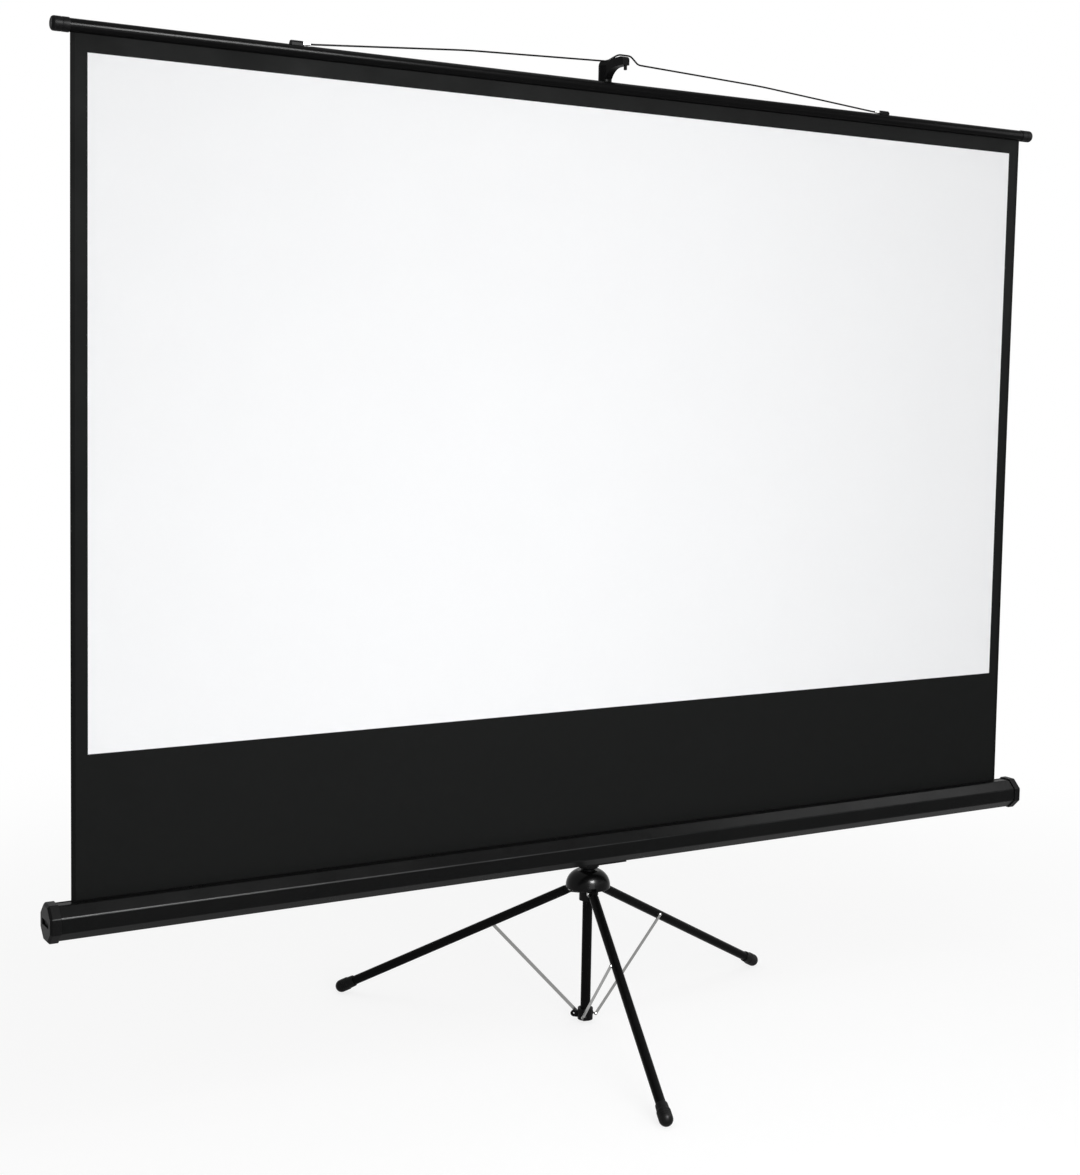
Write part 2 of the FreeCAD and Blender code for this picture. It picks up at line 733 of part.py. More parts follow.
def make_batten():
    tube = new_body("batten_tube", "0", "screen_y", "batten_height")
    ring(tube, "YZ_Plane", "batten_radius", "batten_radius - batten_wall", "0", "2 * batten_half", both=True)
    slot = sketch(tube, "YZ_Plane")
    rectangle(slot, "-batten_slot / 2", "-batten_radius - overrun", "batten_slot / 2", "-batten_radius / 2")
    pocket(slot, both=True)
    hem = new_body("hem_rod", "0", "screen_y", "batten_height")
    rod(hem, "YZ_Plane", "hem_rod_radius", "0", "2 * cloth_half", both=True)

    for name, side in SIDES.items():
        cap = new_body("batten_cap_" + name, f"{side} * (batten_half + batten_cap_end)", "screen_y",
                       "batten_height", turned((0, 1, 0), 90 * side))
        drawing = sketch(cap, "XZ_Plane")
        bore = "batten_radius + seat_fit"
        outline(drawing, [
            ("0", "-batten_cap_end"), (bore, "-batten_cap_end"), (bore, "-batten_cap_length"),
            ("batten_cap_radius", "-batten_cap_length"),
            ("batten_cap_radius", "-batten_cap_round", "batten_cap_round", 1),
            ("batten_cap_radius - batten_cap_round", "0"), ("0", "0")])
        revolve(drawing)

        clip = new_body("bail_clip_" + name, f"{side} * bail_reach", "screen_y", "batten_height")
        block = sketch(clip, "YZ_Plane")
        half = "clip_width / 2"
        seat = "sqrt((batten_radius + seat_fit) ^ 2 - (clip_width / 2) ^ 2)"
        outline(block, [
            (half, seat), (half, "clip_rise"), (f"{half} - clip_cover", "clip_rise + clip_cover"),
            (f"clip_cover - {half}", "clip_rise + clip_cover"), (f"-{half}", "clip_rise"),
            (f"-{half}", seat, "batten_radius + seat_fit", -1)])
        pad(block, "clip_length", both=True)
        hole = sketch(clip, "YZ_Plane")
        circle(hole, "0", "clip_rise", "wire_radius + run_fit")
        pocket(hole, both=True)


def rounded_path(corners):
    """A wire of straight runs joined by tangent arcs, from corner points with bend radii."""
    edges = []
    start = corners[0][0]
    for (before, _), (corner, bend), (after, _) in zip(corners, corners[1:], corners[2:]):
        back = (before - corner).normalize()
        ahead = (after - corner).normalize()
        half_turn = (math.pi - back.getAngle(ahead)) / 2
        leave = corner + back * (bend * math.tan(half_turn))
        join = corner + ahead * (bend * math.tan(half_turn))
        bisector = (back + ahead).normalize()
        middle = corner + bisector * (bend / math.cos(half_turn) - bend)
        edges += [Part.LineSegment(start, leave).toShape(), Part.Arc(leave, middle, join).toShape()]
        start = join
    edges.append(Part.LineSegment(start, corners[-1][0]).toShape())
    return Part.Wire(edges)


def make_bail():
    """Bent wire from clip to clip, built upright on the clip axis and leant out to the hook."""
    end = num("bail_reach + clip_length / 2")
    run = num("bail_reach - clip_length / 2 - ferrule_length - 2 * ferrule_radius")
    foot = num("hump_half + hump_flank")
    shoulder = num("bail_height - hump_drop")
    middle = (run + foot) / 2
    half = [(end, 0, 0), (run, 0, num("bail_bend")),
            (middle, shoulder / 2 + num("bail_bow"), num("bail_sweep")),
            (foot, shoulder, num("hump_bend")), (num("hump_half"), num("bail_height"), num("hump_bend"))]
    whole = [(-x, up, bend) for x, up, bend in half] + half[::-1]
    path = rounded_path([(FreeCAD.Vector(x, 0, up), bend) for x, up, bend in whole])
    section = Part.makeCircle(num("wire_radius"), FreeCAD.Vector(-end, 0, 0), FreeCAD.Vector(1, 0, 0))
    wire = doc.addObject("Part::Feature", "bail_wire")
    wire.Shape = path.makePipeShell([Part.Wire([section])], True, False)
    spare = wire.Shape.Volume / (path.Length * math.pi * num("wire_radius") ** 2) - 1
    print(f"bail wire: {path.Length:.1f} long, volume off by {spare:.5f}")
    place(wire, "0", "screen_y", "clip_height", turned((1, 0, 0), num("bail_lean")))
    node(wire, "bail_wire")

    sleeves = []
    for name, side in SIDES.items():
        sleeve = new_body("ferrule_" + name, "0", "screen_y", "clip_height")
        middle = "bail_reach - clip_length / 2 - clear_gap - ferrule_length / 2"
        drawing = sketch(sleeve, "YZ_Plane", f"{side} * ({middle}) - ferrule_length / 2")
        circle(drawing, "0", "0", "ferrule_radius")
        circle(drawing, "0", "0", "wire_radius")
        pad(drawing, "ferrule_length")
        sleeves.append(sleeve)
    group("bail_ferrules", sleeves)


# Case, roller and carrier

def make_case():
    shell = new_body("case_shell", "0", "case_y", "case_height")
    drawing = sketch(shell, "YZ_Plane")
    rear = "slot_setback + slot_width / 2"
    front = "slot_setback - slot_width / 2"
    lip = "case_flat - slot_lip"
    outline(drawing, [
        (rear, "case_flat"), (rear, lip), (f"{rear} + case_wall", lip), (f"{rear} + case_wall", "inner_flat"),
        ("inner_side", "inner_flat"), ("inner_flat", "inner_side"), ("inner_flat", "-inner_side"),
        ("inner_side", "-inner_flat"), ("-inner_side", "-inner_flat"), ("-inner_flat", "-inner_side"),
        ("-inner_flat", "inner_side"), ("-inner_side", "inner_flat"), (f"{front} - case_wall", "inner_flat"),
        (f"{front} - case_wall", lip), (front, lip), (front, "case_flat"), ("-case_side", "case_flat"),
        ("-case_flat", "case_side"), ("-case_flat", "-case_side"), ("-case_side", "-case_flat"),
        ("case_side", "-case_flat"), ("case_flat", "-case_side"), ("case_flat", "case_side"),
        ("case_side", "case_flat")])
    pad(drawing, "2 * case_half_length", both=True)
    rivet_holes(shell, "bracket_rivet_radius + seat_fit")

    for name, side in SIDES.items():
        make_end_cap(name, side)


def rivet_holes(body, radius):
    """Four holes through the back of the case, where the bracket is riveted on."""
    drawing = sketch(body, "XZ_Plane")
    for across in ("rivet_spread", "-rivet_spread"):
        for up in ("rivet_rise", "-rivet_rise"):
            circle(drawing, across, up, radius)
    return pocket(drawing)


def make_end_cap(name, side):
    """Moulded cap over one end of the case, with a boss that carries the roller."""
    cap = new_body("end_cap_" + name, f"{side} * (case_half_length + cap_end_wall)", "case_y", "case_height")
    inward = side > 0
    block = sketch(cap, "YZ_Plane")
    octagon(block, "cap_flat", "cap_side")
    solid = pad(block, "cap_length", back=inward)
    slack = num("edge_slack")
    dress("Chamfer", solid, "cap_bevel",
          lambda edge: abs(edge.BoundBox.XMin) < slack and abs(edge.BoundBox.XMax) < slack)
    mouth = sketch(cap, "YZ_Plane", f"-{side} * cap_end_wall")
    octagon(mouth, "cap_bore_flat", "cap_bore_side")
    pocket(mouth, back=not inward)
    off = "roller_y - case_y"
    boss = sketch(cap, "YZ_Plane", f"-{side} * cap_end_wall")
    circle(boss, off, "0", "cap_boss_radius")
    pad(boss, "cap_boss_length", back=inward)
    bore = sketch(cap, "YZ_Plane", f"-{side} * (cap_end_wall + cap_boss_length)")
    circle(bore, off, "0", "spindle_radius + seat_fit" if inward else "idle_pin_radius + run_fit")
    pocket(bore, "cap_boss_length", back=inward)
    grip = sketch(cap, "YZ_Plane")
    rectangle(grip, "-cap_slot_half", "-cap_slot_height / 2", "cap_slot_half", "cap_slot_height / 2")
    pocket(grip, "cap_slot_depth", back=not inward)


def make_roller():
    tube = new_body("roller_tube", "0", "roller_y", "case_height")
    ring(tube, "YZ_Plane", "roller_radius", "roller_radius - roller_wall", "0", "2 * roller_half", both=True)
    turns = new_body("cloth_roll", "0", "roller_y", "case_height")
    ring(turns, "YZ_Plane", "roll_radius", "roller_radius + seat_fit", "0", "2 * cloth_half", both=True)

    plug = "roller_radius - roller_wall - seat_fit"
    idle = new_body("roller_idle_plug", "0", "roller_y", "case_height")
    rod(idle, "YZ_Plane", plug, "-roller_half", "plug_length")
    rod(idle, "YZ_Plane", "idle_pin_radius", "-roller_half - cap_boss_length", "cap_boss_length")
    sprung = new_body("roller_spring_plug", "0", "roller_y", "case_height")
    ring(sprung, "YZ_Plane", plug, "spindle_radius + run_fit", "roller_half - plug_length", "plug_length")

    spindle = new_body("spring_spindle", "0", "roller_y", "case_height")
    rod(spindle, "YZ_Plane", "spindle_radius", "case_half_length - spindle_length", "spindle_length")
    spring = new_body("roller_spring", "0", "roller_y", "case_height")
    ring(spring, "YZ_Plane", "spring_radius", "spring_radius - spring_wire",
         "roller_half - plug_length - spring_length", "spring_length")


def make_carrier():
    """Sleeve on the column, and the riveted bracket that pivots on it and holds the case."""
    sleeve = new_body("carriage_sleeve", z="sleeve_foot")
    drawing = sketch(sleeve, "XZ_Plane")
    outline(drawing, [
        ("column_bore", "0"), ("sleeve_radius - sleeve_bevel", "0"), ("sleeve_radius", "sleeve_bevel"),
        ("sleeve_radius", "sleeve_height - sleeve_bevel"), ("sleeve_radius - sleeve_bevel", "sleeve_height"),
        ("column_bore", "sleeve_height")])
    revolve(drawing)
    pivot = "case_height - sleeve_foot"
    boss = sketch(sleeve, "XZ_Plane", "column_radius + sleeve_bevel")
    circle(boss, "0", pivot, "pivot_boss_radius")
    pad(boss, "boss_face - column_radius - sleeve_bevel")
    bore = sketch(sleeve, "XZ_Plane", "boss_face")
    circle(bore, "0", pivot, "pivot_stud_radius + seat_fit")
    pocket(bore, "pivot_stud_length")
    clamp = f"{pivot} - case_stud_drop"
    rear = sketch(sleeve, "XZ_Plane", "-case_boss_reach")
    circle(rear, "0", clamp, "case_boss_radius")
    pad(rear, "case_boss_reach - column_radius - sleeve_bevel")
    hole = sketch(sleeve, "XZ_Plane")
    circle(hole, "0", clamp, "case_stud_radius + run_fit")
    pocket(hole)
    make_knob("case_lock", "case_knob_radius", "case_boss_reach", "case_stud_radius", "column_radius",
              "case_height - case_stud_drop")

    bracket = new_body("case_bracket", "0", "case_y", "case_height")
    saddle = sketch(bracket, "YZ_Plane")
    outer = "(case_flat + bracket_thickness)"
    outer_side = f"{outer} * tan(22.5)"
    outline(saddle, [
        ("case_flat", "case_side"), ("case_flat", "-case_side"), ("case_side", "-case_flat"),
        ("-case_side", "-case_flat"), ("-case_side", f"-{outer}"), (outer_side, f"-{outer}"),
        (outer, f"-{outer_side}"), (outer, "case_side")])
    pad(saddle, "bracket_width", both=True)
    rivet_holes(bracket, "bracket_rivet_radius + seat_fit")

    front = "column_y - bracket_back"
    washer = new_body("pivot_washer", "0", front, "case_height", turned((1, 0, 0), -90))
    ring(washer, "XY_Plane", "washer_radius", "pivot_stud_radius + seat_fit", "0", "washer_thickness")
    stud = new_body("pivot_stud", "0", front, "case_height", turned((1, 0, 0), -90))
    rod(stud, "XY_Plane", "pivot_stud_radius", "0", "washer_thickness + pivot_stud_length - clear_gap")

    rivets = []
    for across in ("rivet_spread", "-rivet_spread"):
        for up in ("rivet_rise", "-rivet_rise"):
            rivets.append(rivet("bracket_rivet", "bracket_rivet_radius", "bracket_thickness + case_wall",
                                "bracket_rivet_head", "bracket_rivet_height", 1, across, front,
                                f"case_height + {up}", turned((1, 0, 0), -90)))
    group("bracket_rivets", rivets)


# Screen cloth

def make_sheet(label, half_width, front, thickness, low, high):
    """A flat sheet across the screen; front is its viewer-side face."""
    sheet_part = doc.addObject("Part::Box", label)
    sheet_part.setExpression("Length", bind(f"2 * {half_width}"))
    sheet_part.setExpression("Width", bind(thickness))
    sheet_part.setExpression("Height", bind(f"{high} - ({low})"))
    place(sheet_part, f"-{half_width}", front, low)
    node(sheet_part, label)


def make_cloth():
    front = "screen_y - cloth_thickness / 2"
    make_sheet("screen_cloth", "cloth_half", front, "cloth_thickness", "picture_foot",
               "batten_height - hem_rod_radius")
    make_sheet("picture_face", "(picture_width / 2)", f"{front} - face_thickness", "face_thickness",
               "picture_foot", "picture_top")
    make_sheet("screen_drop", "cloth_half", front, "cloth_thickness", "case_height", "picture_foot")


def check():
    """Refuse to write anything from a failed, empty or unchanged feature."""
    for item in doc.Objects:
        if {"Invalid", "Error"} & set(item.State):
            raise RuntimeError(f"{item.Label} failed: {item.State}")
        if item.TypeId == "PartDesign::Pocket" and item.Shape.Volume >= item.BaseFeature.Shape.Volume:
            raise RuntimeError(f"{item.Name} cuts nothing")
    for item in nodes:
        if item.Shape.isNull() or not item.Shape.isValid() or not item.Shape.Solids:
            raise RuntimeError(f"{item.Label} has no valid solid")


def write():
    os.makedirs("parts", exist_ok=True)
    for item in nodes:
        item.Shape.exportStep(f"parts/{item.Label}.step")


make_hub()
for leg in LEGS:
    make_leg(leg)
    make_brace(leg)
make_spider()
make_mast()
make_hook()
make_batten()
make_bail()
make_case()
make_roller()
make_carrier()
make_cloth()
doc.recompute()
check()
write()
print(f"{len(nodes)} sub-parts written")
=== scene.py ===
"""Dressing of the tripod projection screen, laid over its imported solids."""
import json
import math

import bmesh
import bpy
from bpy.props import FloatProperty, FloatVectorProperty, IntProperty, PointerProperty
from mathutils import Matrix, Vector


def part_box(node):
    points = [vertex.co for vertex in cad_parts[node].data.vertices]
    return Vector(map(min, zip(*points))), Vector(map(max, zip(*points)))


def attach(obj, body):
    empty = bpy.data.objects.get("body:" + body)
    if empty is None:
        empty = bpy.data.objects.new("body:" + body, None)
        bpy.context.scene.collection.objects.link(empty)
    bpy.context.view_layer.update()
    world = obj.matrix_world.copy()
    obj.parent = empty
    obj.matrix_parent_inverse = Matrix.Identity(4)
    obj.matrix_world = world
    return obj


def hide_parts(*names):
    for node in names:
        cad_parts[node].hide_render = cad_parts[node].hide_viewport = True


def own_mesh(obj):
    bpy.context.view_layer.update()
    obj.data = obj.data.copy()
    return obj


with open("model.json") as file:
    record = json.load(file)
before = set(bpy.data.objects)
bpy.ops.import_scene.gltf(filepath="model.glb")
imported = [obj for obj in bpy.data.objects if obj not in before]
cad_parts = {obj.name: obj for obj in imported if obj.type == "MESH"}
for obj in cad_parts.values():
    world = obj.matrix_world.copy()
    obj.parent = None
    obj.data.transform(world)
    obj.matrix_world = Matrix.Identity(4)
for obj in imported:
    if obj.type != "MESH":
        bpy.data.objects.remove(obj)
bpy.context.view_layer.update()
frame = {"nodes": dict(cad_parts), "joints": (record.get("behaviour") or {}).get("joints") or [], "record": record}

bl_info = {
    "name": "Tripod projection screen",
    "version": (1, 0, 0),
    "blender": (4, 5, 0),
    "location": "3D View > Sidebar > Projection screen",
    "description": "Dresses a folding tripod projection screen with cloth, mouldings and finishes",
    "category": "Object",
}

NODES = frame["nodes"]
SLOT_OF = {part["node"]: part["material_slot"] for part in frame["record"]["subparts"]}
BODY_OF = {node: body for body, members in frame["record"]["behaviour"]["bodies"].items()
           for node in members}
JOINTS = {joint["name"]: joint for joint in frame["joints"]}
LEGS = ("front", "right", "left")
SIDES = {"left": -1, "right": 1}
WHITE = (1, 1, 1, 1)
OCTAGON = math.pi / 8  # half the turn that one of the case's eight sides takes
SQUARE = 0.99          # share of a normal along an axis that makes a face square to it
FACING = 0.5           # share of a normal towards a side that makes a face belong to it
TOUCH = 1e-5           # metres within which two places are one
WELD = 1e-6            # metres within which two points are merged


# Values a user would change

def length(name, text, default):
    return FloatProperty(name=name, description=text, default=default, min=0, precision=5,
                         unit="LENGTH")


def colour(name, text, default):
    return FloatVectorProperty(name=name, description=text, default=default, min=0, max=1, size=3,
                               subtype="COLOR")


def angle(name, text, degrees):
    return FloatProperty(name=name, description=text, default=math.radians(degrees),
                         subtype="ANGLE")


def amount(name, text, default, **limits):
    return FloatProperty(name=name, description=text, default=default, **{"min": 0, **limits})


class ScreenSizes(bpy.types.PropertyGroup):
    """Sizes of the details that the scene adds to the solids"""
    cloth: length("Cloth", "Thickness of the coated cloth", 0.0005)
    ripple: length("Ripple", "How far the stretched cloth leaves its plane", 0.0011)
    curl: length("Side curl", "How far the cloth's side edges curl back", 0.0025)
    hem: length("Side hem", "Width of the welded hem along each side", 0.009)
    seam: length("Seam", "Hairline that parts the picture sheet from the border", 0.00002)
    straight: length("Straight foot", "Height of the drop's foot that stays flat", 0.040)
    corner: length("Case corner", "Round of the case's long edges", 0.0026)
    case_wall: length("Case wall", "Thickness of the case's wall", 0.0014)
    slot: length("Slot", "Width of the slot that the cloth leaves the case by", 0.006)
    lip: length("Slot lip", "Depth of the folded lips of the slot", 0.005)
    cap_reach: length("Cap reach", "Depth of an end cap", 0.020)
    cap_wall: length("Cap wall", "Thickness of an end cap's end", 0.006)
    cap_bevel: length("Cap bevel", "Bevel round an end cap's outer face", 0.004)
    cap_round: length("Cap round", "Round of an end cap's edges", 0.0008)
    grip: length("Cap slot", "Length of the slot in an end cap's end", 0.040)
    grip_height: length("Cap slot height", "Height of the slot in an end cap's end", 0.011)
    grip_depth: length("Cap slot depth", "Depth of the slot in an end cap's end", 0.004)
    boot: length("Boot", "Radius of a boot and of the ball that it ends in", 0.014)
    boot_bore: length("Boot bore", "Radius of the hole that a leg goes into", 0.01005)
    boot_flat: length("Boot flat", "How much of a boot's ball is lost where it stands", 0.0006)
    ring: length("Boot ring", "Depth of the rings moulded round a boot", 0.0006)


class ScreenColours(bpy.types.PropertyGroup):
    """Base colours of the finishes"""
    picture_white: colour("Picture", "Matt white coating", (0.86, 0.865, 0.875))
    cloth_black: colour("Cloth", "Matt black coating", (0.0080, 0.0085, 0.0083))
    tube_black: colour("Tubes", "Black powder coat", (0.0036, 0.0036, 0.0037))
    case_black: colour("Case", "Satin black paint", (0.0052, 0.0054, 0.0054))
    dome_gloss: colour("Dome", "Glossy black moulding", (0.0030, 0.0030, 0.0031))
    plastic_black: colour("Mouldings", "Grained black moulding", (0.0062, 0.0062, 0.0064))
    rubber_black: colour("Boots", "Black rubber", (0.0052, 0.0052, 0.0052))
    steel_bright: colour("Braces", "Polished steel strip", (0.27, 0.27, 0.265))
    steel_blacked: colour("Socket", "Blacked steel", (0.014, 0.014, 0.0145))
    ferrule_bright: colour("Ferrules", "Bright crimped aluminium", (0.74, 0.74, 0.73))
    nylon_white: colour("Bushes", "Natural nylon", (0.70, 0.69, 0.65))
    roller_metal: colour("Roller", "Mill-finished aluminium", (0.58, 0.58, 0.58))
    cast_black: colour("Castings", "Black painted casting", (0.0050, 0.0050, 0.0052))
    bracket_black: colour("Bracket", "Black painted sheet", (0.0050, 0.0050, 0.0052))
    floor: colour("Floor", "Paper floor", (0.90, 0.90, 0.90))


class ScreenStage(bpy.types.PropertyGroup):
    """Camera and lamps"""
    lens: amount("Lens", "Focal length in millimetres", 55.405, min=1)
    shift: FloatProperty(name="Shift", description="Upright shift of the frame", default=-0.05745)
    eye: FloatVectorProperty(name="Eye", description="Place of the camera",
                             default=(-2.0561, -3.1649, 1.3845), subtype="TRANSLATION",
                             unit="LENGTH")
    yaw: angle("Yaw", "Turn to the right of +Y", 30.708)
    pitch: angle("Pitch", "Tilt above level", -4.4435)
    roll: angle("Roll", "Lean of the frame", 1.080)
    key: amount("Key", "Power of the lamp in front in watts", 37)
    top: amount("Top", "Power of the lamp above in watts", 15)
    rim: amount("Rim", "Power of the long lamp on the right in watts", 9)
    glint: amount("Glint", "Power of the lamp that only gloss shows, in watts", 480)
    sheen: amount("Sheen", "Power of the lamp that only the case's gloss shows, in watts", 24)
    ambient: amount("Ambient", "Light from all round", 0.51)
    glow: amount("Floor glow", "White that the floor shows apart from its shading", 0.80, max=1)
    sides: IntProperty(name="Floor sides", description="Sides of the round floor", default=64,
                       min=8)


# Ways of working

def deselect():
    """Leave edit mode and select nothing."""
    if bpy.context.object and bpy.context.object.mode != "OBJECT":
        bpy.ops.object.mode_set(mode="OBJECT")
    bpy.ops.object.select_all(action="DESELECT")


def take(piece):
    """Select one piece alone."""
    deselect()
    piece.select_set(True)
    bpy.context.view_layer.objects.active = piece


def started(name):
    """Name the primitive that was just added."""
    piece = bpy.context.object
    piece.name = piece.data.name = name
    return piece


def lay(piece, matrix):
    """Move a piece and put its place into its mesh."""
    take(piece)
    piece.matrix_world = matrix @ piece.matrix_world
    bpy.ops.object.transform_apply(location=True, rotation=True, scale=True)


def edit(piece):
    """Open a piece with everything selected."""
    take(piece)
    bpy.ops.object.mode_set(mode="EDIT")
    bpy.ops.mesh.select_mode(type="FACE")
    bpy.ops.mesh.select_all(action="SELECT")


def pick(piece, faces=None, edges=None):
    """Select the faces or the edges of an open piece that pass a test."""
    bpy.ops.mesh.select_mode(type="FACE" if faces else "EDGE")
    bpy.ops.mesh.select_all(action="DESELECT")
    mesh = bmesh.from_edit_mesh(piece.data)
    for part in mesh.faces if faces else mesh.edges:
        if (faces or edges)(part):
            part.select_set(True)
    mesh.select_flush_mode()
    bmesh.update_edit_mesh(piece.data)


def push(x, y, z):
    """Extrude what is selected."""
    bpy.ops.mesh.extrude_region_move(TRANSFORM_OT_translate={"value": (x, y, z)})


def close():
    """Leave edit mode with the faces pointing outwards."""
    bpy.ops.mesh.select_all(action="SELECT")
    bpy.ops.mesh.normals_make_consistent(inside=False)
    bpy.ops.object.mode_set(mode="OBJECT")


def middle(edge):
    """The point halfway along an edge."""
    return (edge.verts[0].co + edge.verts[1].co) / 2


def apply(piece, kind, **settings):
    """Add one modifier with its settings and apply it."""
    take(piece)
    modifier = piece.modifiers.new(kind.lower(), kind)
    for name, value in settings.items():
        setattr(modifier, name, value)
    bpy.ops.object.modifier_apply(modifier=modifier.name)


def round_edges(piece, width, degrees=34):
    """Round the edges whose faces meet at more than an angle."""
    apply(piece, "BEVEL", width=width, segments=2, limit_method="ANGLE",
          angle_limit=math.radians(degrees))


def soften(piece, degrees):
    """Shade smoothly over the edges whose faces meet at less than an angle."""
    take(piece)
    bpy.ops.object.shade_smooth_by_angle(angle=math.radians(degrees))


def smooth(piece, degrees=42):
    """Smooth the curved faces and keep the flat ones flat."""
    soften(piece, degrees)
    apply(piece, "WEIGHTED_NORMAL", keep_sharp=True, weight=80)


def turned(name, rings, sides=48):
    """A turned piece along +Z, from (height, radius) rings; the first and last are closed."""
    deselect()
    height, radius = rings[0]
    bpy.ops.mesh.primitive_circle_add(vertices=sides, radius=radius, fill_type="NGON",
                                      location=(0, 0, height))
    piece = started(name)
    bpy.ops.object.mode_set(mode="EDIT")
    bpy.ops.mesh.select_all(action="SELECT")
    for level, wide in rings[1:]:
        push(0, 0, level - height)
        bpy.ops.transform.resize(value=(wide / radius, wide / radius, 1),
                                 center_override=(0, 0, level))
        height, radius = level, wide
    close()
    lay(piece, Matrix())
    return piece


def twin(piece, name):
    """A copy with its own mesh."""
    copy = piece.copy()
    copy.data = piece.data.copy()
    copy.name = copy.data.name = name
    bpy.context.collection.objects.link(copy)
    return copy


def coat(piece, *slots):
    """Give a piece the finishes of its slots."""
    piece.data.materials.clear()
    for slot in slots:
        piece.data.materials.append(finish(slot))


def settle(piece, node, *others):
    """Finish a piece that stands for solids: it takes their finish and rides on their body."""
    if not piece.data.materials:
        coat(piece, SLOT_OF[node])
    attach(piece, BODY_OF[node])
    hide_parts(node, *others)


def pair(right, left_name, stem, outer):
    """Lay a piece made along +Z at the right end and its twin at the left end.

    The piece's own zero goes to the outer or the inner face of the solid that it replaces.
    """
    left = twin(right, left_name)
    spot = sum(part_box(stem + "right"), Vector()) / 2
    for piece, name in ((right, "right"), (left, "left")):
        side = SIDES[name]
        low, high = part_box(stem + name)
        spot.x = high.x if (side > 0) == outer else low.x
        lay(piece, Matrix.Translation(spot) @ Matrix.Rotation(side * math.pi / 2, 4, "Y"))
        settle(piece, stem + name)


# Shader nodes

def join(tree, socket, value):
    """Fill a socket with a number or a colour, or link it to another socket."""
    if isinstance(value, bpy.types.NodeSocket):
        tree.links.new(value, socket)
    else:
        socket.default_value = value


def add(tree, kind, *values, settings=None, **links):
    """Add a node; values fill its first sockets in their order, and links fill others by name."""
    node = tree.nodes.new("ShaderNode" + kind)
    for field, value in (settings or {}).items():
        setattr(node, field, value)
    for socket, value in zip(node.inputs, values):
        join(tree, socket, value)
    for name, value in links.items():
        join(tree, node.inputs[name.replace("_", " ")], value)
    return node


def number(tree, operation, *values, **settings):
    """The result of a Math node."""
    settings["operation"] = operation
    return add(tree, "Math", *values, settings=settings).outputs["Value"]


def vector(tree, operation, *values, out="Vector"):
    """The result of a Vector Math node; lengths come out as Value."""
    return add(tree, "VectorMath", *values, settings={"operation": operation}).outputs[out]


def noise(tree, place, scale, detail, roughness):
    """Soft cloudy noise at a place."""
    return add(tree, "TexNoise", Vector=place, Scale=scale, Detail=detail,
               Roughness=roughness).outputs["Fac"]


def ramp(tree, value, start, end, low=0.0, high=1.0, soft=False):
    """Map start to low and end to high, and hold both beyond."""
    way = {"interpolation_type": "SMOOTHSTEP" if soft else "LINEAR"}
    return add(tree, "MapRange", settings=way, Value=value, From_Min=start, From_Max=end,
               To_Min=low, To_Max=high).outputs["Result"]


MIX_SOCKETS = (0, 6, 7)  # factor and the two colours of a Mix node
MIX_RESULT = 2           # its colour output


def mix(tree, share, first, second, blend="MIX"):
    """Blend two colours."""
    node = add(tree, "Mix", settings={"data_type": "RGBA", "blend_type": blend})
    for socket, value in zip(MIX_SOCKETS, (share, first, second)):
        join(tree, node.inputs[socket], value)
    return node.outputs[MIX_RESULT]


def across(tree, place):
    """How far to the right a place is."""
    return add(tree, "SeparateXYZ", Vector=place).outputs["X"]


# Effects that several finishes share

def node_group(name, inputs, outputs):
    """An empty shader group with its sockets; inputs and outputs map names to kinds."""
    group = bpy.data.node_groups.new(name, "ShaderNodeTree")
    for way, sockets in (("INPUT", inputs), ("OUTPUT", outputs)):
        for socket, kind in sockets.items():
            group.interface.new_socket(name=socket, in_out=way, socket_type="NodeSocket" + kind)
    start, end = group.nodes.new("NodeGroupInput"), group.nodes.new("NodeGroupOutput")
    return group, start.outputs, end.inputs


FINE_SHARE = 0.35  # weight of the fine grain beside the broad one


def grain_group(name):
    """Fine moulded or coated grain: a roughness that varies, and a height for the bump."""
    group, given, result = node_group(
        name, {"Vector": "Vector", "Scale": "Float", "Smoothest": "Float", "Roughest": "Float"},
        {"Roughness": "Float", "Height": "Float"})
    broad = noise(group, given["Vector"], scale=9.0, detail=4.0, roughness=0.6)
    fine = noise(group, given["Vector"], scale=given["Scale"], detail=3.0, roughness=0.55)
    mixed = number(group, "MULTIPLY_ADD", fine, FINE_SHARE, broad)
    level = ramp(group, mixed, start=0.45, end=0.9, low=given["Smoothest"],
                 high=given["Roughest"])
    join(group, result["Roughness"], level)
    join(group, result["Height"], fine)
    return group


def marks_group(name):
    """Dust and light rub marks over a base colour, in soft patches."""
    group, given, result = node_group(
        name, {"Vector": "Vector", "Colour": "Color", "Mark Colour": "Color", "Scale": "Float",
               "Amount": "Float"}, {"Colour": "Color"})
    patch = noise(group, given["Vector"], scale=given["Scale"], detail=5.0, roughness=0.65)
    speck = noise(group, given["Vector"], scale=420.0, detail=2.0, roughness=0.5)
    held = ramp(group, patch, start=0.5, end=0.75)
    dots = ramp(group, speck, start=0.45, end=0.75, low=0.25)
    share = number(group, "MULTIPLY", number(group, "MULTIPLY", held, dots), given["Amount"],
                   use_clamp=True)
    join(group, result["Colour"], mix(group, share, given["Colour"], given["Mark Colour"]))
    return group


def weave_group(name):
    """Plain weave under a coating, in the plane of the screen."""
    group, given, result = node_group(
        name, {"Vector": "Vector", "Scale": "Float"}, {"Height": "Float"})
    threads = []
    for way in ("X", "Z"):
        bands = {"wave_type": "BANDS", "bands_direction": way, "wave_profile": "SIN"}
        wave = add(group, "TexWave", settings=bands, Vector=given["Vector"],
                   Scale=given["Scale"], Distortion=0.4, Detail=1.0)
        threads.append(wave.outputs["Fac"])
    join(group, result["Height"], number(group, "MAXIMUM", *threads))
    return group


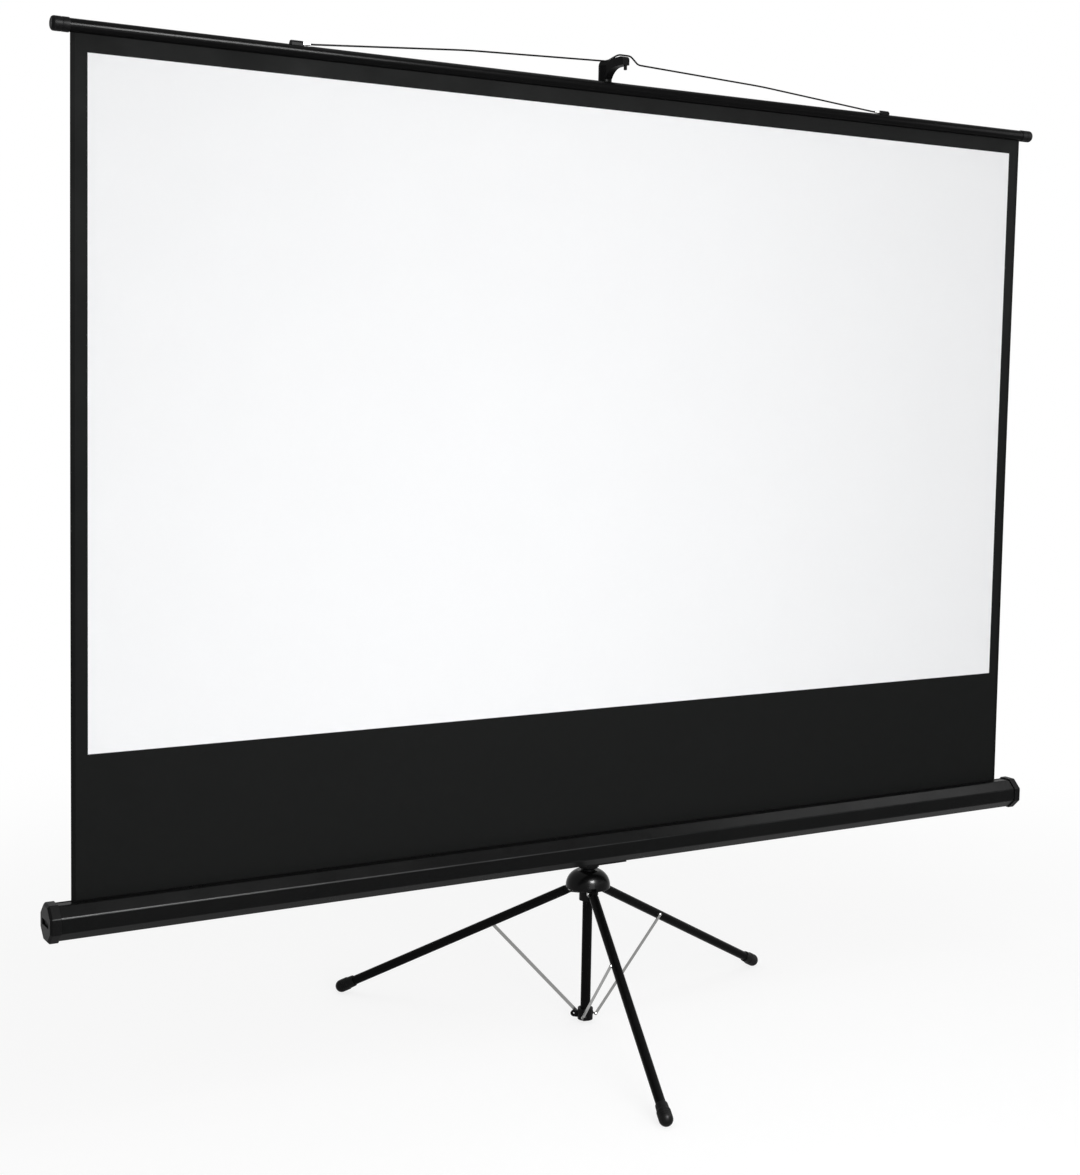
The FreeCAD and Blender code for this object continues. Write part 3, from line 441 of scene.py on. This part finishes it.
def drawn_group(name):
    """Long fine lines left by rolling or drawing, along the way with the smallest stretch."""
    group, given, result = node_group(
        name, {"Vector": "Vector", "Stretch": "Vector"}, {"Height": "Float"})
    laid = vector(group, "MULTIPLY", given["Vector"], given["Stretch"])
    join(group, result["Height"], noise(group, laid, scale=1.0, detail=4.0, roughness=0.7))
    return group


EFFECTS = {"surface_grain": grain_group, "dust_and_rubs": marks_group,
           "plain_weave": weave_group, "drawn_lines": drawn_group}


def effect(tree, name, **links):
    """Add a shared effect; its group is made the first time that it is asked for."""
    group = bpy.data.node_groups.get(name) or EFFECTS[name](name)
    return add(tree, "Group", settings={"node_tree": group}, **links).outputs


# Finishes: metal, specular and coat are the same all over, the rest varies
FINISHES = {
    "picture_white": dict(
        rough=(0.72, 0.86), grain=1500, bump=0.10, specular=0.10, weave=620,
        mark=(0.80, 0.80, 0.79), amount=0.10, patch=1.3),
    "cloth_black": dict(
        rough=(0.60, 0.78), grain=1200, bump=0.16, specular=0.02, weave=520,
        mark=(0.013, 0.013, 0.0135), amount=0.35, patch=2.2),
    "tube_black": dict(
        rough=(0.22, 0.28), grain=1600, bump=0.02, specular=0.022,
        mark=(0.009, 0.009, 0.009), amount=0.30, patch=16),
    "case_black": dict(
        rough=(0.24, 0.34), grain=900, bump=0.025, specular=0.032, stretch=(2, 900, 900),
        mark=(0.013, 0.0135, 0.014), amount=0.30, patch=7),
    "dome_gloss": dict(
        rough=(0.09, 0.14), grain=240, bump=0.008, specular=0.030, coat=0.10, coat_rough=0.30,
        mark=(0.012, 0.012, 0.012), amount=0.12, patch=30),
    "plastic_black": dict(
        rough=(0.34, 0.48), grain=1900, bump=0.08, specular=0.03,
        mark=(0.013, 0.013, 0.0135), amount=0.30, patch=26),
    "rubber_black": dict(
        rough=(0.36, 0.56), grain=1500, bump=0.10, specular=0.06,
        mark=(0.022, 0.0215, 0.0205), amount=0.45, patch=40),
    "steel_bright": dict(
        rough=(0.20, 0.36), grain=700, bump=0.03, metal=1.0, specular=0.5, stretch=(900, 900, 60),
        mark=(0.20, 0.195, 0.185), amount=0.35, patch=30),
    "steel_blacked": dict(
        rough=(0.30, 0.44), grain=900, bump=0.03, metal=1.0, specular=0.5,
        mark=(0.03, 0.03, 0.03), amount=0.3, patch=30),
    "ferrule_bright": dict(
        rough=(0.22, 0.36), grain=900, bump=0.03, metal=1.0, specular=0.5,
        mark=(0.50, 0.50, 0.49), amount=0.3, patch=60),
    "nylon_white": dict(
        rough=(0.42, 0.55), grain=800, bump=0.05, specular=0.4,
        mark=(0.55, 0.53, 0.48), amount=0.3, patch=30),
    "roller_metal": dict(
        rough=(0.30, 0.44), grain=900, bump=0.03, metal=1.0, specular=0.5, stretch=(3, 900, 900),
        mark=(0.42, 0.42, 0.42), amount=0.3, patch=14),
    "cast_black": dict(
        rough=(0.32, 0.46), grain=650, bump=0.08, specular=0.016,
        mark=(0.016, 0.016, 0.0165), amount=0.35, patch=30),
    "bracket_black": dict(
        rough=(0.28, 0.40), grain=1300, bump=0.05, specular=0.06,
        mark=(0.015, 0.015, 0.0155), amount=0.3, patch=20),
}
WEAVE_SHARE = 0.6    # weight of a weave in the bump, beside the grain
LINES_SHARE = 0.8    # weight of drawn lines in the bump, beside the grain
BUMP_DEPTH = 0.0004  # metres between the lowest and the highest place of a bump

# Finishes that get a painted highlight along their upper corners, and the eight-sided node that they lie on
HIGHLIGHTED_CORNERS = {"case_black": "case_shell", "plastic_black": "end_cap_left"}
# paler colour painted along the corners as a highlight
CORNER_HIGHLIGHT_COLOUR = (0.090, 0.092, 0.092, 1)
HIGHLIGHT_CORE, HIGHLIGHT_EDGE = 0.0006, 0.0018  # metres from a corner where the painted highlight is whole and where it ends
HIGHLIGHT_MOST, HIGHLIGHT_LEAST = -1.15, 0.25    # places along X where the painted highlight is strongest and faintest
HIGHLIGHT_FAINTEST = 0.08                  # share of the painted highlight that is left there

HEM_SHADE = (0.55, 0.55, 0.55, 1)
HEM_FADE = 0.001   # metres in which the hem's shade sets in
HEM_LINE = 0.0012  # metres that the pressed line spreads to each side
HEM_PRESS = -1.5   # its depth, in heights of the weave


def finish(name):
    """The material of one finish, made the first time that it is asked for."""
    found = bpy.data.materials.get(name + "_finish")
    if found:
        return found
    recipe = FINISHES[name]
    base = (*getattr(bpy.context.scene.screen_colours, name), 1)
    material = bpy.data.materials.new(name + "_finish")
    material.use_nodes = True
    material.diffuse_color = base
    tree = material.node_tree
    shader = next(node for node in tree.nodes if node.type == "BSDF_PRINCIPLED")
    place = add(tree, "TexCoord").outputs["Object"]

    shade = effect(tree, "dust_and_rubs", Vector=place, Colour=base, Scale=recipe["patch"],
                   Mark_Colour=(*recipe["mark"], 1), Amount=recipe["amount"])["Colour"]
    smoothest, roughest = recipe["rough"]
    grain = effect(tree, "surface_grain", Vector=place, Scale=recipe["grain"],
                   Smoothest=smoothest, Roughest=roughest)
    height = grain["Height"]
    if "weave" in recipe:
        weave = effect(tree, "plain_weave", Vector=place, Scale=recipe["weave"])
        height = number(tree, "MULTIPLY_ADD", weave["Height"], WEAVE_SHARE, height)
    if "stretch" in recipe:
        lines = effect(tree, "drawn_lines", Vector=place, Stretch=recipe["stretch"])
        height = number(tree, "MULTIPLY_ADD", lines["Height"], LINES_SHARE, height)
    if name == "cloth_black":
        shade, height = hemmed(tree, place, shade, height)
    # paint a highlight along the upper corners
    if name in HIGHLIGHTED_CORNERS:
        shade = painted_corner_highlight(tree, place, shade, *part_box(HIGHLIGHTED_CORNERS[name]))
    bump = add(tree, "Bump", Strength=recipe["bump"], Distance=BUMP_DEPTH, Height=height)
    inputs = {
        "Base Color": shade, "Roughness": grain["Roughness"], "Normal": bump.outputs[0],
        "Metallic": recipe.get("metal", 0.0), "Specular IOR Level": recipe["specular"],
        "Coat Weight": recipe.get("coat", 0.0), "Coat Roughness": recipe.get("coat_rough", 0.1),
    }
    for socket, value in inputs.items():
        join(tree, shader.inputs[socket], value)
    return material


def hemmed(tree, place, shade, height):
    """The hem down each side of the cloth: a darker band with a pressed line at its inner edge."""
    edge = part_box("screen_cloth")[1].x - bpy.context.scene.screen_sizes.hem
    out = number(tree, "ABSOLUTE", across(tree, place))
    band = ramp(tree, out, start=edge, end=edge + HEM_FADE)
    off = number(tree, "ABSOLUTE", number(tree, "SUBTRACT", out, edge))
    line = ramp(tree, off, start=0.0, end=HEM_LINE, low=HEM_PRESS, high=0.0)
    return mix(tree, band, shade, HEM_SHADE, "MULTIPLY"), number(tree, "ADD", height, line)


def painted_corner_highlight(tree, place, shade, low, high):
    """A painted highlight on the two upper corners of the case or its caps: paler colour, strongest at the left
    end and broken up by noise.
    """
    flat = (high.z - low.z) / 2
    corner = (0, flat, flat * math.tan(OCTAGON))
    spot = vector(tree, "SUBTRACT", place, tuple((low + high) / 2))
    upright = vector(tree, "MULTIPLY", spot, (0, 0, 1))
    folded = vector(tree, "MULTIPLY_ADD", vector(tree, "ABSOLUTE", spot), (0, 1, 0), upright)
    away = vector(tree, "DISTANCE", folded, corner, out="Value")
    line = ramp(tree, away, start=HIGHLIGHT_CORE, end=HIGHLIGHT_EDGE, low=1.0, high=0.0, soft=True)
    # noise that breaks the painted highlight into patches
    worn = noise(tree, place, scale=14.0, detail=4.0, roughness=0.6)
    patch = ramp(tree, worn, start=0.3, end=0.6, low=0.55)
    along = ramp(tree, across(tree, place), start=HIGHLIGHT_MOST, end=HIGHLIGHT_LEAST, low=1.0,
                 high=HIGHLIGHT_FAINTEST)
    share = number(tree, "MULTIPLY", line, number(tree, "MULTIPLY", patch, along))
    return mix(tree, share, shade, CORNER_HIGHLIGHT_COLOUR)


# Cloth

COLUMNS = 96      # faces of a sheet across it
CURL_FROM = 0.93  # share of the half width beyond which the sides curl
# Waves of the stretched cloth: weight, rate per metre across, rate down the sheet, phase
WAVES = ((0.55, 2.6, 0.0, 0.7), (0.3, 6.1, -1.9, 2.0), (0.15, 11.3, 3.0, 0.0))


def ripple(x, share):
    """Waves at a place across the cloth, and how far down it is as a share."""
    return math.sin(math.pi * share) * sum(
        weight * math.sin(rate * x + down * share + phase) for weight, rate, down, phase in WAVES)


class TRIPOD_SCREEN_OT_sheets(bpy.types.Operator):
    """Hang the black border from the batten, the picture sheet from it and the drop below them"""
    bl_idname = "tripod_screen.sheets"
    bl_label = "Sheets"

    def execute(self, context):
        sizes = context.scene.screen_sizes
        low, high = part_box("screen_cloth")
        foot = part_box("screen_drop")[0].z
        picture_low, picture_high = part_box("picture_face")
        hems = [low.x + sizes.hem, high.x - sizes.hem]
        lines = [picture_low.x, picture_high.x, *hems]
        border = self.hang("border_sheet", picture_high.z, high.z, lines, rows=4)
        upper = self.hang("picture_sheet", low.z, picture_high.z - sizes.seam, lines, rows=52)
        coat(border, "cloth_black")
        coat(upper, "picture_white", "cloth_black")
        for face in upper.data.polygons:
            inside = picture_low.x < face.center.x < picture_high.x
            face.material_index = 0 if inside and face.normal.y < -FACING else 1
        drop = self.hang("drop_sheet", foot, low.z, hems, rows=14)
        coat(drop, "cloth_black")

        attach(border, BODY_OF["batten_tube"])
        settle(upper, "picture_face", "screen_cloth")
        settle(drop, "screen_drop")
        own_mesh(upper)
        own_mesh(drop)
        return {"FINISHED"}

    def hang(self, name, foot, top, lines, rows):
        """One stretched sheet, scored at places along X, with slight waves and curling sides."""
        sizes = bpy.context.scene.screen_sizes
        low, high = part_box("screen_cloth")
        crest, base = high.z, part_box("screen_drop")[0].z + sizes.straight
        deselect()
        bpy.ops.mesh.primitive_grid_add(
            x_subdivisions=COLUMNS, y_subdivisions=rows, size=1, rotation=(math.pi / 2, 0, 0),
            location=(0, (low.y + high.y) / 2, (foot + top) / 2))
        sheet = started(name)
        sheet.scale = (high.x - low.x, top - foot, 1)
        lay(sheet, Matrix())
        edit(sheet)
        for x in lines:
            bpy.ops.mesh.select_all(action="SELECT")
            bpy.ops.mesh.bisect(plane_co=(x, 0, 0), plane_no=(1, 0, 0))
        bpy.ops.object.mode_set(mode="OBJECT")
        for point in sheet.data.vertices:
            share = min(max((crest - point.co.z) / (crest - base), 0), 1)
            side = max(abs(point.co.x) / high.x - CURL_FROM, 0) / (1 - CURL_FROM)
            point.co.y += sizes.ripple * ripple(point.co.x, share)
            point.co.y += sizes.curl * side * side * math.sin(math.pi * share)
        apply(sheet, "SOLIDIFY", thickness=sizes.cloth, offset=0)
        soften(sheet, degrees=40)
        return sheet


# Case and its ends

class TRIPOD_SCREEN_OT_case(bpy.types.Operator):
    """Fold the eight-sided case round the roller, with a lipped slot along its top"""
    bl_idname = "tripod_screen.case"
    bl_label = "Case"

    def execute(self, context):
        sizes = context.scene.screen_sizes
        low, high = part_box("case_shell")
        flat = (high.z - low.z) / 2
        slot_y = sum(corner.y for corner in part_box("screen_drop")) / 2
        deselect()
        bpy.ops.mesh.primitive_cylinder_add(
            vertices=8, radius=flat / math.cos(OCTAGON), depth=high.x - low.x,
            end_fill_type="NOTHING", rotation=(0, 0, OCTAGON))
        case = started("case_housing")
        lay(case, Matrix())
        lay(case, Matrix.Translation((low + high) / 2) @ Matrix.Rotation(math.pi / 2, 4, "Y"))
        edit(case)
        # Round the long edges
        pick(case, edges=lambda edge: abs(edge.verts[0].co.x - edge.verts[1].co.x) > flat)
        bpy.ops.mesh.bevel(offset=sizes.corner, segments=4, affect="EDGES")
        # Open the slot between two cuts along the top
        for side in SIDES.values():
            pick(case, faces=lambda face: face.normal.z > SQUARE)
            bpy.ops.mesh.bisect(plane_co=(0, slot_y + side * sizes.slot / 2, 0),
                                plane_no=(0, 1, 0))
        pick(case, faces=lambda face: face.normal.z > SQUARE
             and abs(face.calc_center_median().y - slot_y) < sizes.slot / 4)
        bpy.ops.mesh.delete(type="ONLY_FACE")
        # Fold its lips down
        pick(case, edges=lambda edge: middle(edge).z > high.z - TOUCH
             and abs(abs(middle(edge).y - slot_y) - sizes.slot / 2) < TOUCH
             and abs(middle(edge).x) < flat)
        push(0, 0, -sizes.lip)
        bpy.ops.object.mode_set(mode="OBJECT")
        apply(case, "SOLIDIFY", thickness=sizes.case_wall, offset=-1)
        smooth(case, degrees=30)
        settle(case, "case_shell")
        return {"FINISHED"}


class TRIPOD_SCREEN_OT_end_caps(bpy.types.Operator):
    """Mould the two end caps of the case, with a bevelled rim and a slot in the end"""
    bl_idname = "tripod_screen.end_caps"
    bl_label = "End caps"

    def execute(self, context):
        sizes = context.scene.screen_sizes
        low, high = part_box("end_cap_right")
        case_low, case_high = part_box("case_shell")
        flat = (high.z - low.z) / 2
        rim = flat - (case_high.z - case_low.z) / 2
        deselect()
        bpy.ops.mesh.primitive_cylinder_add(
            vertices=8, radius=flat / math.cos(OCTAGON), depth=sizes.cap_reach,
            rotation=(0, 0, OCTAGON), location=(0, 0, -sizes.cap_reach / 2))
        cap = started("end_cap_moulding_right")
        lay(cap, Matrix())
        edit(cap)
        # Hollow it from behind, to fit over the case
        pick(cap, faces=lambda face: face.normal.z < -SQUARE)
        bpy.ops.mesh.inset(thickness=rim)
        push(0, 0, sizes.cap_reach - sizes.cap_wall)
        # Bevel the outer face
        pick(cap, edges=lambda edge: all(abs(point.co.z) < TOUCH for point in edge.verts))
        bpy.ops.mesh.bevel(offset=sizes.cap_bevel, segments=1, affect="EDGES")
        close()
        self.grip(cap, sizes)
        round_edges(cap, sizes.cap_round, degrees=25)
        smooth(cap)
        pair(cap, "end_cap_moulding_left", "end_cap_", outer=True)
        return {"FINISHED"}

    def grip(self, cap, sizes):
        """Cut the slot across the end."""
        deselect()
        bpy.ops.mesh.primitive_cube_add(size=1)
        cutter = started("grip_cutter")
        cutter.scale = (sizes.grip_height, sizes.grip, 2 * sizes.grip_depth)
        lay(cutter, Matrix())
        apply(cap, "BOOLEAN", operation="DIFFERENCE", object=cutter, solver="EXACT")
        bpy.data.objects.remove(cutter)


# Batten ends

BATTEN_PLAY = 1.004    # bore of a cap over the batten's radius
BATTEN_GROOVE = 0.42   # place of the groove, as a share of a cap's length
BATTEN_STEP = 0.0006   # metres that mouth, groove and dish are stepped by
BATTEN_BENDS = 5       # faces along the rounded end
# Radii as shares of a cap's own
BATTEN_ROUND = 0.42    # rounding of the end
BATTEN_MOUTH = 0.965
BATTEN_WAIST = 0.955   # floor of the groove
BATTEN_DISH = 0.36     # edge of the dished end
BATTEN_CENTRE = 0.05   # middle of the dished end


class TRIPOD_SCREEN_OT_batten_caps(bpy.types.Operator):
    """Turn the two grooved caps on the ends of the batten"""
    bl_idname = "tripod_screen.batten_caps"
    bl_label = "Batten caps"

    def execute(self, context):
        low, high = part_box("batten_cap_right")
        tube_low, tube_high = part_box("batten_tube")
        reach, radius = high.x - low.x, (high.z - low.z) / 2
        bore = (tube_high.z - tube_low.z) / 2 * BATTEN_PLAY
        depth = tube_high.x - low.x
        bend = radius * BATTEN_ROUND
        turns = [math.pi / 2 * count / BATTEN_BENDS for count in range(BATTEN_BENDS + 1)]
        dome = [(reach - bend * (1 - math.sin(turn)), radius - bend * (1 - math.cos(turn)))
                for turn in turns]
        groove, waist, step = reach * BATTEN_GROOVE, radius * BATTEN_WAIST, BATTEN_STEP
        rings = [(depth, bore), (0, bore), (0, radius * BATTEN_MOUTH), (step, radius),
                 (groove - 2 * step, radius), (groove - step, waist),
                 (groove + step, waist), (groove + 2 * step, radius), *dome,
                 (reach - step, radius * BATTEN_DISH), (reach - step, radius * BATTEN_CENTRE)]
        cap = turned("batten_cap_turned_right", rings)
        smooth(cap, degrees=50)
        pair(cap, "batten_cap_turned_left", "batten_cap_", outer=False)
        return {"FINISHED"}


# Feet

# Heights and radii in metres over the middle of a boot's ball
BOOT_BORE = (0.003, 0.034)
BOOT_NECK = ((0.034, 0.0113), (0.0333, 0.0121), (0.031, 0.0124), (0.0195, 0.0127),
             (0.0188, 0.0130), (0.0182, 0.0137))
BOOT_SHOULDER = 0.0172
BOOT_GROOVES = (0.0125, 0.0075, 0.0025)
GROOVE_MOUTH, GROOVE_FLOOR = 0.0010, 0.0006  # half widths of a groove
BALL_TURNS = range(12, 85, 12)               # degrees below level at which the ball has rings


class TRIPOD_SCREEN_OT_boots(bpy.types.Operator):
    """Mould the three rubber boots, stepped and ringed, and cut them level with the floor"""
    bl_idname = "tripod_screen.boots"
    bl_label = "Boots"

    def execute(self, context):
        sizes = context.scene.screen_sizes
        column = sum(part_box("column_tube"), Vector()) / 2
        joint = JOINTS["tripod_fold"]["pos_m"]
        pivot_out, pivot_up = (Vector(joint[:2]) - column.xy).length, joint[2]
        pattern = turned("boot_pattern", self.rings(sizes))
        smooth(pattern, degrees=50)
        for name in LEGS:
            low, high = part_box("foot_boot_" + name)
            out = ((low + high) / 2).xy - column.xy
            out.normalize()
            reach = self.reach(name, column, out) - sizes.boot
            foot = Vector((*(column.xy + out * reach), sizes.boot - sizes.boot_flat))
            pivot = Vector((*(column.xy + out * pivot_out), pivot_up))
            lean = (pivot - foot).to_track_quat("Z", "Y").to_matrix().to_4x4()
            piece = twin(pattern, "boot_" + name)
            lay(piece, Matrix.Translation(foot) @ lean)
            edit(piece)
            bpy.ops.mesh.bisect(plane_co=(0, 0, TOUCH), plane_no=(0, 0, -1), clear_outer=True,
                                use_fill=True)
            close()
            settle(piece, "foot_boot_" + name)
        bpy.data.objects.remove(pattern)
        return {"FINISHED"}

    def rings(self, sizes):
        """Rings of a boot: up its bore, over its mouth, down its neck and grip, and its ball."""
        boot, worn = sizes.boot, sizes.boot - sizes.ring
        rings = [(height, sizes.boot_bore) for height in BOOT_BORE]
        rings += [*BOOT_NECK, (BOOT_SHOULDER, boot)]
        for groove in BOOT_GROOVES:
            rings += [(groove + GROOVE_MOUTH, boot), (groove + GROOVE_FLOOR, worn),
                      (groove - GROOVE_FLOOR, worn), (groove - GROOVE_MOUTH, boot)]
        turns = [0, *(math.radians(turn) for turn in BALL_TURNS)]
        return rings + [(-boot * math.sin(turn), boot * math.cos(turn)) for turn in turns]

    def reach(self, name, column, out):
        """How far from the mast the outermost point of a boot is."""
        return max((point.co.xy - column.xy).dot(out)
                   for point in NODES["foot_boot_" + name].data.vertices)


# Castings and mouldings whose solids are right, with the round of their edges in metres
ROUNDED = {
    "hook_head": 0.0013, "bail_clip_left": 0.0009, "bail_clip_right": 0.0009,
    "mast_lock_collar": 0.0008, "mast_lock_knob": 0.0009, "carriage_sleeve": 0.0008,
    "case_lock_knob": 0.0009, "case_bracket": 0.0006, "hub_dome": 0.0006, "spider": 0.0007,
    **{"brace_strip_" + name: 0.0004 for name in LEGS},
    **{"leg_hinge_" + name: 0.0006 for name in LEGS},
}
LEVEL = math.radians(0.5)  # faces that meet at less than this become one


class TRIPOD_SCREEN_OT_rounded(bpy.types.Operator):
    """Round the edges of the castings, mouldings and strips"""
    bl_idname = "tripod_screen.rounded"
    bl_label = "Rounded pieces"

    def execute(self, context):
        for node, width in ROUNDED.items():
            piece = bpy.data.objects.new(node + "_rounded", NODES[node].data.copy())
            context.collection.objects.link(piece)
            take(piece)
            bpy.ops.mesh.customdata_custom_splitnormals_clear()
            edit(piece)
            bpy.ops.mesh.remove_doubles(threshold=WELD)
            bpy.ops.mesh.dissolve_limited(angle_limit=LEVEL)
            bpy.ops.object.mode_set(mode="OBJECT")
            round_edges(piece, width)
            smooth(piece)
            settle(piece, node)
        return {"FINISHED"}


# Steel pieces with a darker finish than the braces
BLACKED = {"hub_socket": "steel_blacked"}


class TRIPOD_SCREEN_OT_finishes(bpy.types.Operator):
    """Coat all the solids, those that stay and those that are modelled on"""
    bl_idname = "tripod_screen.finishes"
    bl_label = "Finishes"

    def execute(self, context):
        for name, node in NODES.items():
            coat(node, BLACKED.get(name, SLOT_OF[name]))
        return {"FINISHED"}


# Stage: place, target, size in metres and shape of each lamp; only gloss shows the round ones
LAMPS = {
    "key": ((-0.55, -2.8, 0.95), (-0.3, 0, 1.0), (1.4, 1.4), "RECTANGLE"),
    "top": ((0.3, -0.25, 3.6), (0, 0, 0.4), (2.0, 1.4), "RECTANGLE"),
    "rim": ((1.95, -2.85, 1.8), (0, 0, 0.5), (4.2, 0.4), "RECTANGLE"),
    "glint": ((-0.1, -2.3, 2.6), (0, 0, 0.6), (1.1, 1.1), "DISK"),
    "sheen": ((2.1, -0.6, 2.03), (0.65, -0.1, 0.42), (1.1, 1.1), "DISK"),
}
FLOOR_RADIUS = 30                    # metres
FLOOR_LEVEL = -0.0005                # metres, just under the boots
FLOOR_NEAR, FLOOR_FAR = 1.1, 3.2     # metres from the mast between which the shading fades out
FLOOR_WHITE = 1.06                   # what glow and shading add up to in full light
SENSOR = 36                          # millimetres across the camera's frame
SIGHT = 200                          # metres that the camera sees


class TRIPOD_SCREEN_OT_stage(bpy.types.Operator):
    """Set the floor, the lamps and the camera"""
    bl_idname = "tripod_screen.stage"
    bl_label = "Stage"

    def execute(self, context):
        stage = context.scene.screen_stage
        deselect()
        bpy.ops.mesh.primitive_circle_add(vertices=stage.sides, radius=FLOOR_RADIUS,
                                          fill_type="NGON", location=(0, 0, FLOOR_LEVEL))
        floor = started("paper_floor")
        lay(floor, Matrix())
        floor.data.materials.append(self.paper(context, stage.glow))
        self.sky(context, stage.ambient)
        for name, (spot, target, size, shape) in LAMPS.items():
            self.lamp(name + "_lamp", spot, target, size, shape, getattr(stage, name))
        self.camera(context, stage)
        context.scene.view_settings.view_transform = "Standard"
        return {"FINISHED"}

    def paper(self, context, glow):
        """Paper floor: matt to the light; white to the camera, with a shadow that fades far out."""
        material = bpy.data.materials.new("paper")
        material.use_nodes = True
        tree = material.node_tree
        tree.nodes.clear()
        paper = context.scene.screen_colours.floor
        matt = add(tree, "BsdfDiffuse", Color=(*paper, 1))
        faint = add(tree, "BsdfDiffuse",
                    Color=(*(level * (FLOOR_WHITE - glow) for level in paper), 1))
        white = add(tree, "Emission", Color=WHITE, Strength=glow)
        shaded = add(tree, "AddShader", faint.outputs[0], white.outputs[0])
        far = vector(tree, "LENGTH", add(tree, "TexCoord").outputs["Object"], out="Value")
        fade = ramp(tree, far, start=FLOOR_NEAR, end=FLOOR_FAR, soft=True)
        bare = add(tree, "Emission", Color=WHITE, Strength=1.0)
        shown = add(tree, "MixShader", fade, shaded.outputs[0], bare.outputs[0])
        both = add(tree, "MixShader", self.seen(tree), matt.outputs[0], shown.outputs[0])
        add(tree, "OutputMaterial", Surface=both.outputs[0])
        return material

    def seen(self, tree):
        """1 for a ray that shows the background: straight, in a gloss or through a clear piece."""
        rays = add(tree, "LightPath").outputs
        first = number(tree, "MAXIMUM", rays["Is Camera Ray"], rays["Is Glossy Ray"])
        return number(tree, "MAXIMUM", first, rays["Is Transmission Ray"])

    def sky(self, context, ambient):
        """White to the eye, and ambient light to the rest."""
        world = bpy.data.worlds.new("studio")
        context.scene.world = world
        world.use_nodes = True
        tree = world.node_tree
        back = next(node for node in tree.nodes if node.type == "BACKGROUND")
        level = ramp(tree, self.seen(tree), start=0.0, end=1.0, low=ambient)
        join(tree, back.inputs["Color"], WHITE)
        join(tree, back.inputs["Strength"], level)

    def lamp(self, name, spot, target, size, shape, power):
        """Add an area lamp that points at a target."""
        deselect()
        bpy.ops.object.light_add(type="AREA", location=spot)
        lamp = started(name)
        lamp.data.shape, lamp.data.energy = shape, power
        lamp.data.size, lamp.data.size_y = size
        lamp.rotation_euler = (Vector(target) - Vector(spot)).to_track_quat("-Z", "Y").to_euler()
        if shape == "DISK":
            lamp.visible_diffuse = lamp.visible_camera = False

    def camera(self, context, stage):
        """Stand the camera where the photograph was taken from."""
        level = math.cos(stage.pitch)
        ahead = Vector((math.sin(stage.yaw) * level, math.cos(stage.yaw) * level,
                        math.sin(stage.pitch)))
        right = Vector((math.cos(stage.yaw), -math.sin(stage.yaw), 0))
        up = right.cross(ahead)
        rightward = right * math.cos(stage.roll) + up * math.sin(stage.roll)
        above = up * math.cos(stage.roll) - right * math.sin(stage.roll)
        deselect()
        bpy.ops.object.camera_add(location=stage.eye)
        camera = started("photo_camera")
        camera.rotation_euler = Matrix((rightward, above, -ahead)).transposed().to_euler()
        camera.data.lens, camera.data.sensor_width = stage.lens, SENSOR
        camera.data.shift_y = stage.shift
        camera.data.clip_end = SIGHT
        context.scene.camera = camera


class TRIPOD_SCREEN_PT_panel(bpy.types.Panel):
    """Steps and values of the projection screen"""
    bl_idname = "TRIPOD_SCREEN_PT_panel"
    bl_label = "Projection screen"
    bl_space_type = "VIEW_3D"
    bl_region_type = "UI"
    bl_category = "Projection screen"

    def draw(self, context):
        for step in STEPS:
            self.layout.operator(step.bl_idname)
        for title in GROUPS:
            group = getattr(context.scene, title)
            box = self.layout.box()
            for name in group.__annotations__:
                box.prop(group, name)


STEPS = (TRIPOD_SCREEN_OT_stage, TRIPOD_SCREEN_OT_finishes, TRIPOD_SCREEN_OT_sheets,
         TRIPOD_SCREEN_OT_case, TRIPOD_SCREEN_OT_end_caps, TRIPOD_SCREEN_OT_batten_caps,
         TRIPOD_SCREEN_OT_boots, TRIPOD_SCREEN_OT_rounded)
GROUPS = {"screen_sizes": ScreenSizes, "screen_colours": ScreenColours,
          "screen_stage": ScreenStage}
CLASSES = (*GROUPS.values(), *STEPS, TRIPOD_SCREEN_PT_panel)


def register():
    for kind in CLASSES:
        bpy.utils.register_class(kind)
    for name, kind in GROUPS.items():
        setattr(bpy.types.Scene, name, PointerProperty(type=kind))


def unregister():
    for name in GROUPS:
        delattr(bpy.types.Scene, name)
    for kind in reversed(CLASSES):
        bpy.utils.unregister_class(kind)


def main():
    register()
    for step in STEPS:
        module, name = step.bl_idname.split(".")
        getattr(getattr(bpy.ops, module), name)()


if __name__ == "__main__":
    main()
